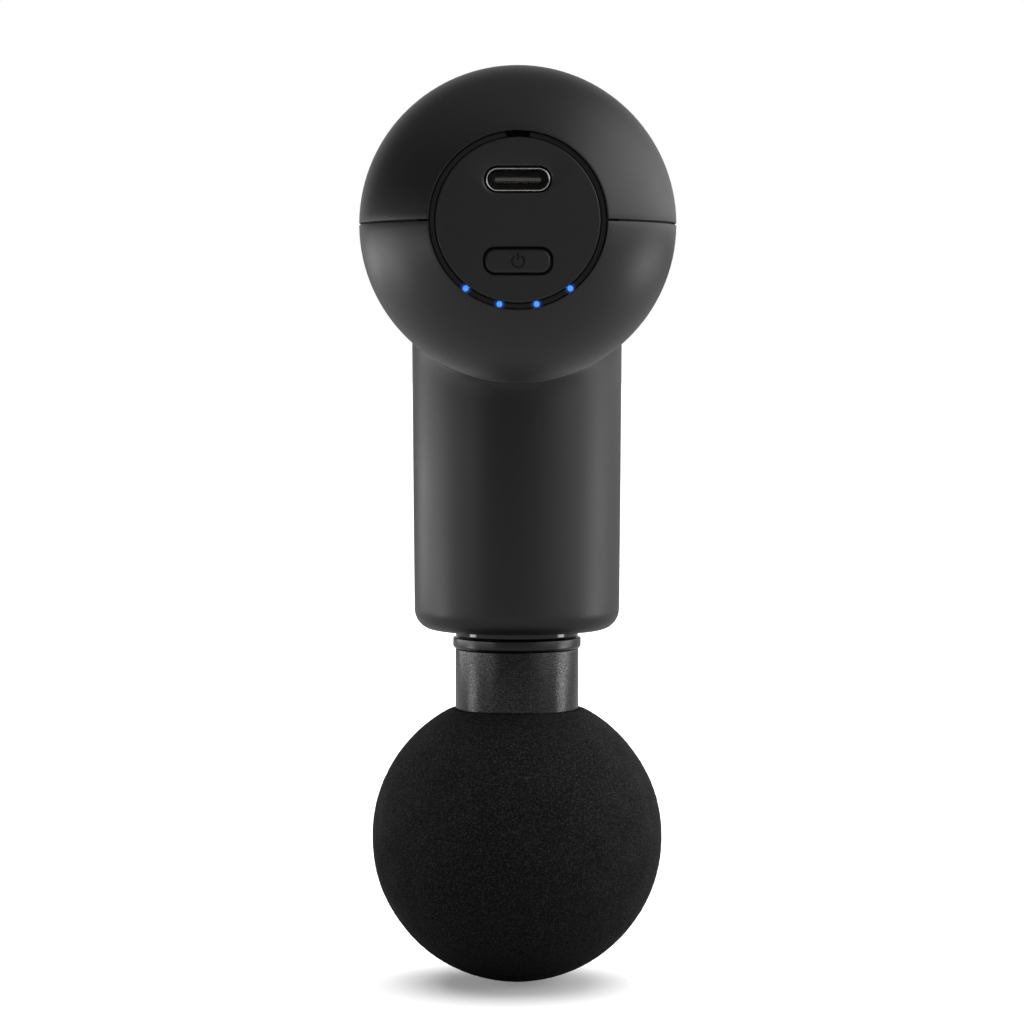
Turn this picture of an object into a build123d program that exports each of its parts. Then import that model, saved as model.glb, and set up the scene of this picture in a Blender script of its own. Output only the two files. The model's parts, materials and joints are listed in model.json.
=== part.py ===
import math
import os

from build123d import *

# Massage gun, millimetres. The handle is a round bar with domed ends along Y, its butt towards -Y.
# The percussion axis is vertical, and the massage head points down. Every function below works with
# the percussion axis at y = 0 and the handle axis at z = 0. The export moves each piece by GRIP_TO_HEAD,
# which puts the origin in the middle of the straight grip.

# Handle and its two half shells
HANDLE_R = 22.8
WALL = 2.0
BUTT_Y = -106.0
END_OPENING_R = 12.4
RIM_DEPTH = math.sqrt(HANDLE_R**2 - END_OPENING_R**2)
BUTT_EQUATOR = BUTT_Y + RIM_DEPTH
FAR_EQUATOR = 17.0
FAR_Y = FAR_EQUATOR + RIM_DEPTH
GRIP_TO_HEAD = 52.3
SPLIT_GAP = 0.24
LIP_R = 22.3
LIP_HEIGHT = 1.0
INNER_R = HANDLE_R - WALL

# Snout
SNOUT_TOP_R = 17.66
SNOUT_BOTTOM_R = 17.25
SNOUT_TOP_Z = -10.0
SNOUT_BOTTOM_Z = -65.0
SNOUT_EDGE = 3.5
NOSE_OPENING_R = 12.0

# End face in the butt
DISC_R = 11.5
DISC_FACE_Y = BUTT_Y + 0.2
DISC_THICK = 2.0
LIGHT_RING_IN = 11.55
LIGHT_RING_OUT = 12.35
NOTCH_W = 3.5
LIGHT_R = 11.95
LIGHT_ANGLES = (-37.5, -12.5, 12.5, 37.5)
USB_Z = 5.6
USB_W = 8.94
USB_H = 3.26
BUTTON_Z = -5.7
BUTTON_W = 9.2
BUTTON_H = 3.4
HOLE_W = 9.7
HOLE_H = 3.9
BOARD_Y = BUTT_Y + 8.4
BOARD_THICK = 1.2
CARRIER_IN = 9.9
CARRIER_OUT = 14.6
CARRIER_SCREW_X = (-9.4, 9.4)

# Battery
CELL_R = 9.1
CELL_CIRCLE = 10.6
CELL_FRONT_Y = -89.5
CELL_REAR_Y = -40.5
HOLDER_THICK = 2.0
RIBBON_Z = -17.9
RIBBON_HALF = 3.0
DRIVER_Y = -24.0

# Motor, behind the percussion axis
SHAFT_R = 1.5
BEARING_R = 4.0
BEARING_W = 3.0
BALL_CIRCLE = 2.75
PLATE_FRONT_Y = 5.5
PLATE_REAR_Y = 8.5
FLANGE_REAR_Y = 10.0
MOTOR_TUBE_R = 5.2
MOTOR_TUBE_END = 22.5
STATOR_R = 11.9
STATOR_FRONT_Y = 12.0
STATOR_REAR_Y = 19.0
STATOR_TEETH = 12
MAGNET_R = 13.6
MAGNET_COUNT = 14
BELL_R = 15.0
BELL_END_Y = 24.4
LEAD_X = (-3, 0, 3)
LEAD_Z = 14.0
MOTOR_SCREW_CIRCLE = 9.0

# Crank, connecting rod and plunger
CRANK_THROW = 3.5
CRANK_FRONT_Y = 2.4
CRANK_REAR_Y = 5.2
COUNTERWEIGHT_R = 13.0
ROD_LENGTH = 32.0
ROD_HALF = 1.5
WRIST_Z = CRANK_THROW - ROD_LENGTH
PLUNGER_R = 10.3
PLUNGER_TOP_Z = -24.5
PLUNGER_END_Z = -66.1
SOCKET_R = 8.0
SOCKET_TOP_Z = -44.0
BUSH_IN = 10.35
SLEEVE_IN = 13.0
SLEEVE_OUT = 15.0
SLEEVE_TOP_Z = -21.5
SLEEVE_END_Z = -62.8
BUSH_TOP_Z = -43.5
BUSH_END_Z = -61.5

# Massage head
STEM_R = 7.9
STEM_TOP_Z = -44.6
RING_R = 10.6
RING_TOP_Z = -66.3
RING_END_Z = -68.1
COLLAR_R = 10.12
COLLAR_END_Z = -79.4
BALL_R = 24.35
BALL_Z = -99.9
BALL_FLAT_Z = -78.1
CORE_R = 11.5
O_RING_Z = (-50.0, -58.0)

# Frame mounting ears and shell screws
EAR_CIRCLE = 18.4
EAR_ANGLES = (45, 135, 225, 315)
SHELL_SCREWS = ((-13.0, -35.0), (13.0, -35.0), (-10.0, 27.9), (10.0, 27.9))
COLUMN_R = 3.2
PLUG_R = 2.35
PLUG_TOP_Z = -15.4
SCREW_HEAD_Z = -13.4

BASE = (Align.CENTER, Align.CENTER, Align.MIN)


def along_y(shape, y, x=0.0, z=0.0):
    """Turns a shape built on +Z so that it runs along +Y from y."""
    return Pos(x, y, z) * Rot(-90, 0, 0) * shape


def rod_y(radius, y_low, y_high, x=0.0, z=0.0):
    return along_y(Cylinder(radius, y_high - y_low, align=BASE), y_low, x, z)


def tube_y(outer, inner, y_low, y_high, x=0.0, z=0.0):
    return rod_y(outer, y_low, y_high, x, z) - rod_y(inner, y_low - 1, y_high + 1, x, z)


def rod_z(radius, z_low, z_high, x=0.0, y=0.0):
    return Pos(x, y, z_low) * Cylinder(radius, z_high - z_low, align=BASE)


def tube_z(outer, inner, z_low, z_high, x=0.0, y=0.0):
    return rod_z(outer, z_low, z_high, x, y) - rod_z(inner, z_low - 1, z_high + 1, x, y)


def block(x_low, x_high, y_low, y_high, z_low, z_high):
    size = (x_high - x_low, y_high - y_low, z_high - z_low)
    return Pos((x_low + x_high) / 2, (y_low + y_high) / 2, (z_low + z_high) / 2) * Box(*size)


def oblong_y(width, height, y_low, y_high, z):
    """A bar with rounded ends, wide along X, that runs along Y."""
    return along_y(extrude(SlotOverall(width, height), y_high - y_low), y_low, z=z)


def copies_about_y(shape, count):
    return [Rot(0, 360 / count * i, 0) * shape for i in range(count)]


def on_circle(radius, degrees):
    """x and z on a circle about the Y axis, the angle counted from +X towards +Z."""
    angle = math.radians(degrees)
    return radius * math.cos(angle), radius * math.sin(angle)


def light_places():
    """x and z of each charge light, spread about the bottom of the end face."""
    return [on_circle(LIGHT_R, -90 + angle) for angle in LIGHT_ANGLES]


def capsule(radius):
    """The handle's domed bar at any radius about its axis."""
    bend = radius * math.sin(math.radians(45))
    butt = (0, BUTT_EQUATOR - radius)
    far = (0, FAR_EQUATOR + radius)
    outline = [
        ThreePointArc(butt, (bend, BUTT_EQUATOR - bend), (radius, BUTT_EQUATOR)),
        Line((radius, BUTT_EQUATOR), (radius, FAR_EQUATOR)),
        ThreePointArc((radius, FAR_EQUATOR), (bend, FAR_EQUATOR + bend), far),
        Line(far, butt),
    ]
    return revolve(make_face(outline), Axis.Y)


def slab(z_low, z_high):
    return block(-40, 40, BUTT_Y - 20, FAR_Y + 20, z_low, z_high)


# ---------------------------------------------------------------- casing


def inner_features():
    """Screw columns, ears for the drive frame and the rib that holds the end carrier."""
    parts = [rod_z(COLUMN_R, -HANDLE_R, HANDLE_R, x, y) for x, y in SHELL_SCREWS]
    for angle in EAR_ANGLES:
        x, z = on_circle(EAR_CIRCLE, angle)
        ear = rod_y(2.6, PLATE_REAR_Y + 0.8, PLATE_REAR_Y + 5.8, x, z)
        parts.append(ear - rod_y(1.02, PLATE_REAR_Y, PLATE_REAR_Y + 5.2, x, z))
    parts.append(tube_y(HANDLE_R, 13.2, BUTT_Y + 6.5, BUTT_Y + 7.5))
    return Part() + [part & capsule(LIP_R) for part in parts]


def end_openings():
    openings = rod_y(END_OPENING_R, BUTT_Y - 5, BUTT_Y + 4)
    return openings + rod_y(END_OPENING_R, FAR_Y - 4, FAR_Y + 5)


def handle_shell():
    """Both half shells in one, before the split."""
    return capsule(HANDLE_R) - capsule(INNER_R) + inner_features() - end_openings()


def snout_outside():
    height = SNOUT_TOP_Z - SNOUT_BOTTOM_Z
    body = Pos(0, 0, SNOUT_BOTTOM_Z) * Cone(SNOUT_BOTTOM_R, SNOUT_TOP_R, height, align=BASE)
    return fillet(body.edges().group_by(Axis.Z)[0], SNOUT_EDGE)


def snout_inside():
    """The cavity, a nose opening in its floor, and a way up into the handle."""
    floor = SNOUT_BOTTOM_Z + WALL
    height = SNOUT_TOP_Z - floor
    wall = SNOUT_BOTTOM_R - WALL
    cavity = Pos(0, 0, floor) * Cone(wall, wall + 0.35, height, align=BASE)
    return cavity + rod_z(NOSE_OPENING_R, SNOUT_BOTTOM_Z - 5, floor + 1)


def lower_shell():
    lip = (capsule(LIP_R) - capsule(INNER_R) - end_openings()) & slab(-2, LIP_HEIGHT)
    half = handle_shell() & slab(-2 * HANDLE_R, -SPLIT_GAP / 2)
    half += snout_outside() - capsule(INNER_R)
    half = half + lip - snout_inside()
    for x, y in SHELL_SCREWS:
        half -= rod_z(1.25, -HANDLE_R, 1, x, y)
        half -= rod_z(2.4, -HANDLE_R, SCREW_HEAD_Z, x, y)
    return half


def upper_shell():
    lip_room = (capsule(LIP_R + 0.05) - capsule(INNER_R - 0.1)) & slab(-2, LIP_HEIGHT + 0.1)
    half = (handle_shell() & slab(SPLIT_GAP / 2, 2 * HANDLE_R)) - lip_room
    for x, y in SHELL_SCREWS:
        half -= rod_z(1.22, -1, 7, x, y)
    return half


def shell_screws():
    screws = []
    for x, y in SHELL_SCREWS:
        head = rod_z(2.1, SCREW_HEAD_Z - 1.6, SCREW_HEAD_Z, x, y)
        screws.append(head + rod_z(1.2, SCREW_HEAD_Z - 1, 6.4, x, y))
    return screws


def screw_plugs():
    return [rod_z(PLUG_R, -HANDLE_R, PLUG_TOP_Z, x, y) & capsule(HANDLE_R) for x, y in SHELL_SCREWS]


def vent_cap():
    """Slotted cap in the far end, where the motor's cooling air leaves."""
    face_y = FAR_Y - 0.2
    cap = chamfer(rod_y(END_OPENING_R - 0.1, face_y - 2, face_y).edges().sort_by(Axis.Y)[-1], 0.4)
    cap += tube_y(END_OPENING_R - 0.1, 10.8, face_y - 3.8, face_y - 1)
    cap += tube_y(13.6, 10.8, face_y - 4.7, face_y - 3.7)
    for i in range(-2, 3):
        reach = math.sqrt(9.2**2 - (3.2 * i) ** 2)
        cap -= oblong_y(2 * reach, 1.4, face_y - 3, face_y + 1, 3.2 * i)
    return cap


# ---------------------------------------------------------------- end face and control board


def end_disc():
    disc = rod_y(DISC_R, DISC_FACE_Y, DISC_FACE_Y + DISC_THICK)
    disc = chamfer(disc.edges().sort_by(Axis.Y)[0], 0.25)
    for z in (USB_Z, BUTTON_Z):
        disc -= oblong_y(HOLE_W, HOLE_H, DISC_FACE_Y - 1, DISC_FACE_Y + DISC_THICK + 1, z)
    return disc


def light_ring():
    ring = tube_y(LIGHT_RING_OUT, LIGHT_RING_IN, BUTT_Y + 1.0, BUTT_Y + 3.0)
    ring -= block(-NOTCH_W / 2, NOTCH_W / 2, BUTT_Y, BUTT_Y + 4, DISC_R - 1, LIGHT_RING_OUT + 1)
    for x, z in light_places():
        ring -= rod_y(0.34, BUTT_Y, BUTT_Y + 4, x, z)
    return ring


def light_pipes():
    return [rod_y(0.33, BUTT_Y + 0.9, BUTT_Y + 7.5, x, z) for x, z in light_places()]


def light_chips():
    return [
        block(x - 0.8, x + 0.8, BOARD_Y - 0.8, BOARD_Y, z - 0.8, z + 0.8) for x, z in light_places()
    ]


def end_carrier():
    """Frame behind the end face. It holds the face, the light pipes and the control board."""
    carrier = tube_y(11.3, CARRIER_IN, DISC_FACE_Y + DISC_THICK, BOARD_Y)
    carrier += tube_y(CARRIER_OUT, CARRIER_IN, BUTT_Y + 5.2, BUTT_Y + 6.4)
    for x in CARRIER_SCREW_X:
        carrier += rod_y(1.9, DISC_FACE_Y + DISC_THICK, BOARD_Y, x)
        carrier -= rod_y(0.92, BUTT_Y + 4.4, BOARD_Y + 1, x)
    for x, z in light_places():
        carrier -= rod_y(0.6, BUTT_Y, BOARD_Y + 1, x, z)
        carrier -= block(x - 1, x + 1, BOARD_Y - 1, BOARD_Y + 1, z - 1, z + 1)
    return carrier


def control_board():
    board = rod_y(14.0, BOARD_Y, BOARD_Y + BOARD_THICK)
    for x in CARRIER_SCREW_X:
        board -= rod_y(1.0, BOARD_Y - 1, BOARD_Y + 2, x)
    return board


def board_chips():
    back = BOARD_Y + BOARD_THICK
    chips = [block(-3, 3, back, back + 1.0, 2, 8), block(-8, -4.5, back, back + 0.8, -6, -2)]
    chips += [block(4.5, 8, back, back + 1.4, -6, -2), block(-2, 2, back, back + 0.8, -5, -1)]
    return chips


def carrier_screws():
    back = BOARD_Y + BOARD_THICK
    screws = []
    for x in CARRIER_SCREW_X:
        head = rod_y(1.7, back, back + 1.1, x)
        screws.append(head + rod_y(0.9, BUTT_Y + 4.6, back + 0.5, x))
    return screws


def usb_shell():
    outside = oblong_y(USB_W, USB_H, BUTT_Y + 0.35, BOARD_Y, USB_Z)
    inside = oblong_y(USB_W - 0.6, USB_H - 0.6, BUTT_Y, BOARD_Y - 0.8, USB_Z)
    return outside - inside


def usb_tongue():
    return block(-3.35, 3.35, BUTT_Y + 1.0, BOARD_Y - 0.8, USB_Z - 0.35, USB_Z + 0.35)


def power_button():
    cap = oblong_y(BUTTON_W, BUTTON_H, BUTT_Y + 0.3, BUTT_Y + 3.0, BUTTON_Z)
    cap = fillet(cap.edges().group_by(Axis.Y)[0], 0.3)
    return cap + oblong_y(BUTTON_W + 2, BUTTON_H + 2, BUTT_Y + 2.7, BUTT_Y + 3.3, BUTTON_Z)


def switch_stem():
    return rod_y(0.8, BUTT_Y + 3.3, BUTT_Y + 6.7, z=BUTTON_Z)


def key_switch():
    body = block(-2.2, 2.2, BUTT_Y + 6.4, BOARD_Y, BUTTON_Z - 1.8, BUTTON_Z + 1.8)
    return body - rod_y(1.1, BUTT_Y + 6, BUTT_Y + 7.4, z=BUTTON_Z)


# ---------------------------------------------------------------- battery and driver


def cell_places():
    return [on_circle(CELL_CIRCLE, angle) for angle in (90, 210, 330)]


def battery_cell(x, z):
    """One round cell with its crimped collar and raised contact, which stays inside the holder."""
    can = rod_y(CELL_R, CELL_FRONT_Y, CELL_REAR_Y, x, z)
    groove = tube_y(CELL_R + 1, CELL_R - 0.5, CELL_FRONT_Y + 3, CELL_FRONT_Y + 4.2, x, z)
    return can - groove + rod_y(3.2, CELL_FRONT_Y - 0.8, CELL_FRONT_Y, x, z)


def cell_holder(y_low):
    holder = rod_y(19.6, y_low, y_low + HOLDER_THICK)
    for x, z in cell_places():
        holder -= rod_y(5.5, y_low - 1, y_low + HOLDER_THICK + 1, x, z)
    return holder - block(-4, 4, y_low - 1, y_low + HOLDER_THICK + 1, -25, RIBBON_Z + 1)


def nickel_strips():
    """Strips over the cell ends, one pair in front and one behind."""
    (top_x, top_z), (left_x, left_z), (right_x, right_z) = cell_places()
    front = CELL_FRONT_Y - 1.2 - HOLDER_THICK
    rear = CELL_REAR_Y + HOLDER_THICK
    pad = 3.0
    low = block(left_x - pad, right_x + pad, front, front + 0.3, left_z - pad, left_z + pad)
    high = block(top_x - pad, top_x + pad, front, front + 0.3, top_z - pad, top_z + pad)
    back = block(top_x - pad, top_x + pad, rear, rear + 0.3, left_z + pad + 1, top_z + pad)
    return [low, high, back]


def ribbon_cable():
    """Flat lead from the control board, under the cells, to the driver board."""
    front = BOARD_Y + BOARD_THICK
    half = RIBBON_HALF
    cable = block(-half, half, front, DRIVER_Y, RIBBON_Z, RIBBON_Z + 0.6)
    cable += block(-half, half, front, front + 0.6, RIBBON_Z, -11)
    return cable + block(-half, half, DRIVER_Y - 0.6, DRIVER_Y, RIBBON_Z, -12)


def driver_board():
    return rod_y(17.5, DRIVER_Y, DRIVER_Y + 1.6)


def driver_chips():
    """Six transistors and two capacitors on the side towards the battery, and one controller."""
    chips = []
    for i in range(3):
        for z in (-7.0, 1.0):
            chips.append(block(-11 + 8 * i, -6 + 8 * i, DRIVER_Y - 1.1, DRIVER_Y, z, z + 6))
    chips += [rod_y(2.8, DRIVER_Y - 6, DRIVER_Y, x, 11.5) for x in (-5.5, 5.5)]
    chips.append(block(-3.5, 3.5, DRIVER_Y + 1.6, DRIVER_Y + 2.6, -3.5, 3.5))
    return chips


def power_leads():
    rear = CELL_REAR_Y + HOLDER_THICK + 0.3
    return [rod_y(0.8, rear, DRIVER_Y, x, 16.0) for x in (-1.5, 1.5)]


def motor_leads():
    return [rod_y(0.6, DRIVER_Y + 1.6, FLANGE_REAR_Y + 0.3, x, LEAD_Z) for x in LEAD_X]


# ---------------------------------------------------------------- motor


def ball_bearing(y_mid, z=0.0):
    """Outer ring, inner ring and list of balls of a 3 x 8 x 3 bearing on an axis along Y."""
    y_low = y_mid - BEARING_W / 2
    y_high = y_mid + BEARING_W / 2
    race = along_y(Torus(BALL_CIRCLE, 0.8), y_mid, z=z)
    outer = tube_y(BEARING_R, 3.25, y_low, y_high, z=z) - race
    inner = tube_y(2.25, SHAFT_R, y_low, y_high, z=z) - race
    places = [on_circle(BALL_CIRCLE, 360 / 7 * i) for i in range(7)]
    balls = [Pos(dx, y_mid, z + dz) * Sphere(0.72) for dx, dz in places]
    return outer, inner, balls


def motor_base():
    base = tube_y(14.8, BEARING_R, PLATE_REAR_Y, FLANGE_REAR_Y)
    base += tube_y(MOTOR_TUBE_R, BEARING_R, PLATE_FRONT_Y, MOTOR_TUBE_END)
    for angle in EAR_ANGLES:
        x, z = on_circle(MOTOR_SCREW_CIRCLE, angle)
        base -= rod_y(1.02, PLATE_REAR_Y - 1, FLANGE_REAR_Y + 1, x, z)
    for x in LEAD_X:
        base -= rod_y(0.9, PLATE_REAR_Y - 1, FLANGE_REAR_Y + 1, x, LEAD_Z)
    return base


def motor_screws():
    screws = []
    for angle in EAR_ANGLES:
        x, z = on_circle(MOTOR_SCREW_CIRCLE, angle)
        screws.append(rod_y(1.0, PLATE_FRONT_Y + 1.6, FLANGE_REAR_Y, x, z))
        screws[-1] += rod_y(1.9, PLATE_FRONT_Y + 0.3, PLATE_FRONT_Y + 1.6, x, z)
    return screws


def stator_core():
    """Laminated core: a hub, twelve teeth and their tips, with a slot between each two tips."""
    middle = (STATOR_FRONT_Y + STATOR_REAR_Y) / 2
    depth = STATOR_REAR_Y - STATOR_FRONT_Y
    core = tube_y(7.0, MOTOR_TUBE_R, STATOR_FRONT_Y, STATOR_REAR_Y)
    rim = tube_y(STATOR_R, 10.9, STATOR_FRONT_Y, STATOR_REAR_Y)
    gap = Rot(0, 180 / STATOR_TEETH, 0) * Pos(STATOR_R, middle, 0) * Box(4, depth + 2, 0.9)
    tooth = Pos(9.0, middle, 0) * Box(4.6, depth, 1.6)
    for piece in copies_about_y(gap, STATOR_TEETH):
        rim -= piece
    for piece in copies_about_y(tooth, STATOR_TEETH):
        core += piece
    return core + rim


def windings():
    middle = (STATOR_FRONT_Y + STATOR_REAR_Y) / 2
    depth = STATOR_REAR_Y - STATOR_FRONT_Y
    coil = Pos(9.1, middle, 0) * Box(3.2, depth + 2.2, 3.0)
    coil = fillet(coil.edges().filter_by(Axis.X), 0.7)
    coil -= Pos(9.1, middle, 0) * Box(5, depth, 1.6)
    return copies_about_y(coil, STATOR_TEETH)


def rotor_bell():
    bell = rod_y(BELL_R, FLANGE_REAR_Y + 0.6, BELL_END_Y)
    bell -= rod_y(MAGNET_R, FLANGE_REAR_Y, BELL_END_Y - 1.4)
    bell = chamfer(bell.edges().sort_by(Axis.Y)[-1], 0.8)
    for window in copies_about_y(rod_y(2.4, BELL_END_Y - 3, BELL_END_Y + 1, x=8.8), 6):
        bell -= window
    return bell - rod_y(SHAFT_R, BELL_END_Y - 3, BELL_END_Y + 1)


def magnets():
    ring = tube_y(MAGNET_R, 12.4, 11.4, 20.4)
    gap = Pos(13, 16, 0) * Box(4, 12, 0.5)
    for piece in copies_about_y(gap, MAGNET_COUNT):
        ring -= piece
    return list(ring.solids())


def motor_shaft():
    return rod_y(SHAFT_R, CRANK_FRONT_Y, BELL_END_Y + 1)


# ---------------------------------------------------------------- percussion drive


def drive_frame():
    """Cast frame: a plate for the motor, and a sleeve in the snout for the plunger's bush."""
    plate = rod_y(20.4, PLATE_FRONT_Y, PLATE_REAR_Y)
    plate += block(-12.2, 12.2, PLATE_FRONT_Y, PLATE_REAR_Y, -30, -14)
    frame = plate + rod_z(SLEEVE_OUT, SLEEVE_END_Z, SLEEVE_TOP_Z)
    for x in (-7.0, 7.0):
        frame += block(x - 1.5, x + 1.5, PLATE_REAR_Y - 1, 12.0, -34, -15.5)
    frame -= rod_z(SLEEVE_IN, SLEEVE_END_Z - 1, SLEEVE_TOP_Z)
    frame -= rod_y(MOTOR_TUBE_R + 0.05, PLATE_FRONT_Y - 1, PLATE_REAR_Y + 1)
    frame -= tube_z(SLEEVE_IN + 0.5, SLEEVE_IN - 1, BUSH_END_Z - 0.8, BUSH_END_Z)
    for angle in EAR_ANGLES:
        x, z = on_circle(EAR_CIRCLE, angle)
        frame -= rod_y(1.7, PLATE_FRONT_Y - 1, PLATE_REAR_Y + 1, x, z)
        x, z = on_circle(MOTOR_SCREW_CIRCLE, angle)
        frame -= rod_y(1.05, PLATE_FRONT_Y - 1, PLATE_REAR_Y + 1, x, z)
        frame -= rod_y(2.0, PLATE_FRONT_Y - 1, PLATE_FRONT_Y + 1.6, x, z)
    for x in LEAD_X:
        frame -= rod_y(0.9, PLATE_FRONT_Y - 1, PLATE_REAR_Y + 1, x, LEAD_Z)
    return frame


def frame_isolators():
    """Rubber grommets in the frame's four ears."""
    grommets = []
    for angle in EAR_ANGLES:
        x, z = on_circle(EAR_CIRCLE, angle)
        body = rod_y(1.68, PLATE_FRONT_Y, PLATE_REAR_Y, x, z)
        body += rod_y(2.3, PLATE_FRONT_Y - 0.8, PLATE_FRONT_Y, x, z)
        body += rod_y(2.3, PLATE_REAR_Y, PLATE_REAR_Y + 0.8, x, z)
        grommets.append(body - rod_y(1.05, PLATE_FRONT_Y - 2, PLATE_REAR_Y + 2, x, z))
    return grommets


def frame_screws():
    screws = []
    for angle in EAR_ANGLES:
        x, z = on_circle(EAR_CIRCLE, angle)
        head = rod_y(2.0, PLATE_FRONT_Y - 2.2, PLATE_FRONT_Y - 0.8, x, z)
        screws.append(head + rod_y(1.0, PLATE_FRONT_Y - 1.5, PLATE_REAR_Y + 4.8, x, z))
    return screws


def crank_wheel():
    """Wheel on the motor shaft, with a counterweight opposite the crank pin."""
    weight = rod_y(COUNTERWEIGHT_R, CRANK_FRONT_Y, CRANK_REAR_Y)
    weight &= block(-20, 20, 0, 10, -20, -2.5)
    wheel = weight + rod_y(6.2, CRANK_FRONT_Y, CRANK_REAR_Y)
    wheel -= rod_y(SHAFT_R, 0, 10)
    return wheel - rod_y(1.5, 0, 10, z=CRANK_THROW)


def crank_pin():
    """The pin's stub. It stops short of the big-end bearing, where the linkage is opened."""
    return rod_y(1.5, ROD_HALF + 0.3, CRANK_REAR_Y, z=CRANK_THROW)


def connecting_rod():
    rod = rod_y(5.6, -ROD_HALF, ROD_HALF, z=CRANK_THROW)
    rod += rod_y(3.6, -ROD_HALF, ROD_HALF, z=WRIST_Z)
    beam = [(-2.6, CRANK_THROW), (2.6, CRANK_THROW), (1.8, WRIST_Z), (-1.8, WRIST_Z)]
    bar = extrude(make_face(Polyline(*beam, close=True)), 2 * ROD_HALF)
    rod += Pos(0, ROD_HALF, 0) * Rot(90, 0, 0) * bar
    rod -= rod_y(BEARING_R, -5, 5, z=CRANK_THROW)
    return rod - rod_y(2.0, -5, 5, z=WRIST_Z)


def small_end_bush():
    return tube_y(2.0, 1.54, -ROD_HALF, ROD_HALF, z=WRIST_Z)


def wrist_pin():
    return rod_y(1.5, -9.5, 9.5, z=WRIST_Z)


def plunger():
    """Round piston with a fork for the connecting rod above and the head's socket below."""
    body = rod_z(PLUNGER_R, PLUNGER_END_Z, PLUNGER_TOP_Z)
    body = chamfer(body.edges().group_by(Axis.Z)[0], 0.3)
    body -= block(-5.4, 5.4, -1.9, 1.9, WRIST_Z - 5.2, PLUNGER_TOP_Z + 1)
    body -= rod_y(1.5, -PLUNGER_R - 1, PLUNGER_R + 1, z=WRIST_Z)
    return body - rod_z(SOCKET_R, PLUNGER_END_Z - 1, SOCKET_TOP_Z)


def guide_bush():
    return tube_z(SLEEVE_IN, BUSH_IN, BUSH_END_Z, BUSH_TOP_Z)


def bush_clip():
    ring = tube_z(SLEEVE_IN + 0.45, SLEEVE_IN - 1, BUSH_END_Z - 0.75, BUSH_END_Z - 0.02)
    return ring - block(-1.5, 1.5, 5, 20, BUSH_END_Z - 2, BUSH_END_Z + 1)


def nose_seal():
    seal = tube_z(NOSE_OPENING_R, PLUNGER_R + 0.3, SNOUT_BOTTOM_Z + 0.2, SNOUT_BOTTOM_Z + WALL)
    flange_z = SNOUT_BOTTOM_Z + WALL
    return seal + tube_z(NOSE_OPENING_R, PLUNGER_R + 0.9, flange_z, flange_z + 0.15)


# ---------------------------------------------------------------- massage head


def head_stem():
    """Plug that snaps into the plunger, with its lower end moulded into the core of the ball."""
    stem = rod_z(STEM_R, RING_END_Z, STEM_TOP_Z)
    stem = chamfer(stem.edges().group_by(Axis.Z)[-1], 0.8)
    stem += rod_z(6.5, BALL_Z + 4, RING_END_Z + 1)
    for z in O_RING_Z:
        stem -= Pos(0, 0, z) * Torus(7.1, 0.9)
    return stem


def head_o_rings():
    return [Pos(0, 0, z) * Torus(7.1, 0.85) for z in O_RING_Z]


def damping_ring():
    ring = tube_z(RING_R, STEM_R + 0.02, RING_END_Z, RING_TOP_Z)
    return chamfer(ring.edges().group_by(Axis.Z)[0].sort_by(SortBy.LENGTH)[-1], 0.35)


def head_collar():
    return tube_z(COLLAR_R, 6.52, COLLAR_END_Z, RING_END_Z - 0.1)


def head_core():
    """Hard core under the foam."""
    core = Pos(0, 0, BALL_Z) * Sphere(CORE_R)
    core += rod_z(9.0, BALL_Z, COLLAR_END_Z - 0.05)
    return core - rod_z(6.52, BALL_Z + 4, COLLAR_END_Z + 1)


def foam_ball():
    ball = Pos(0, 0, BALL_Z) * Sphere(BALL_R)
    ball -= block(-30, 30, -30, 30, BALL_FLAT_Z, BALL_FLAT_Z + 30)
    ball -= Pos(0, 0, BALL_Z) * Sphere(CORE_R + 0.05)
    ball -= rod_z(9.05, BALL_Z, COLLAR_END_Z)
    return ball - rod_z(COLLAR_R + 0.05, COLLAR_END_Z, BALL_FLAT_Z + 1)


# ---------------------------------------------------------------- export


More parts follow.
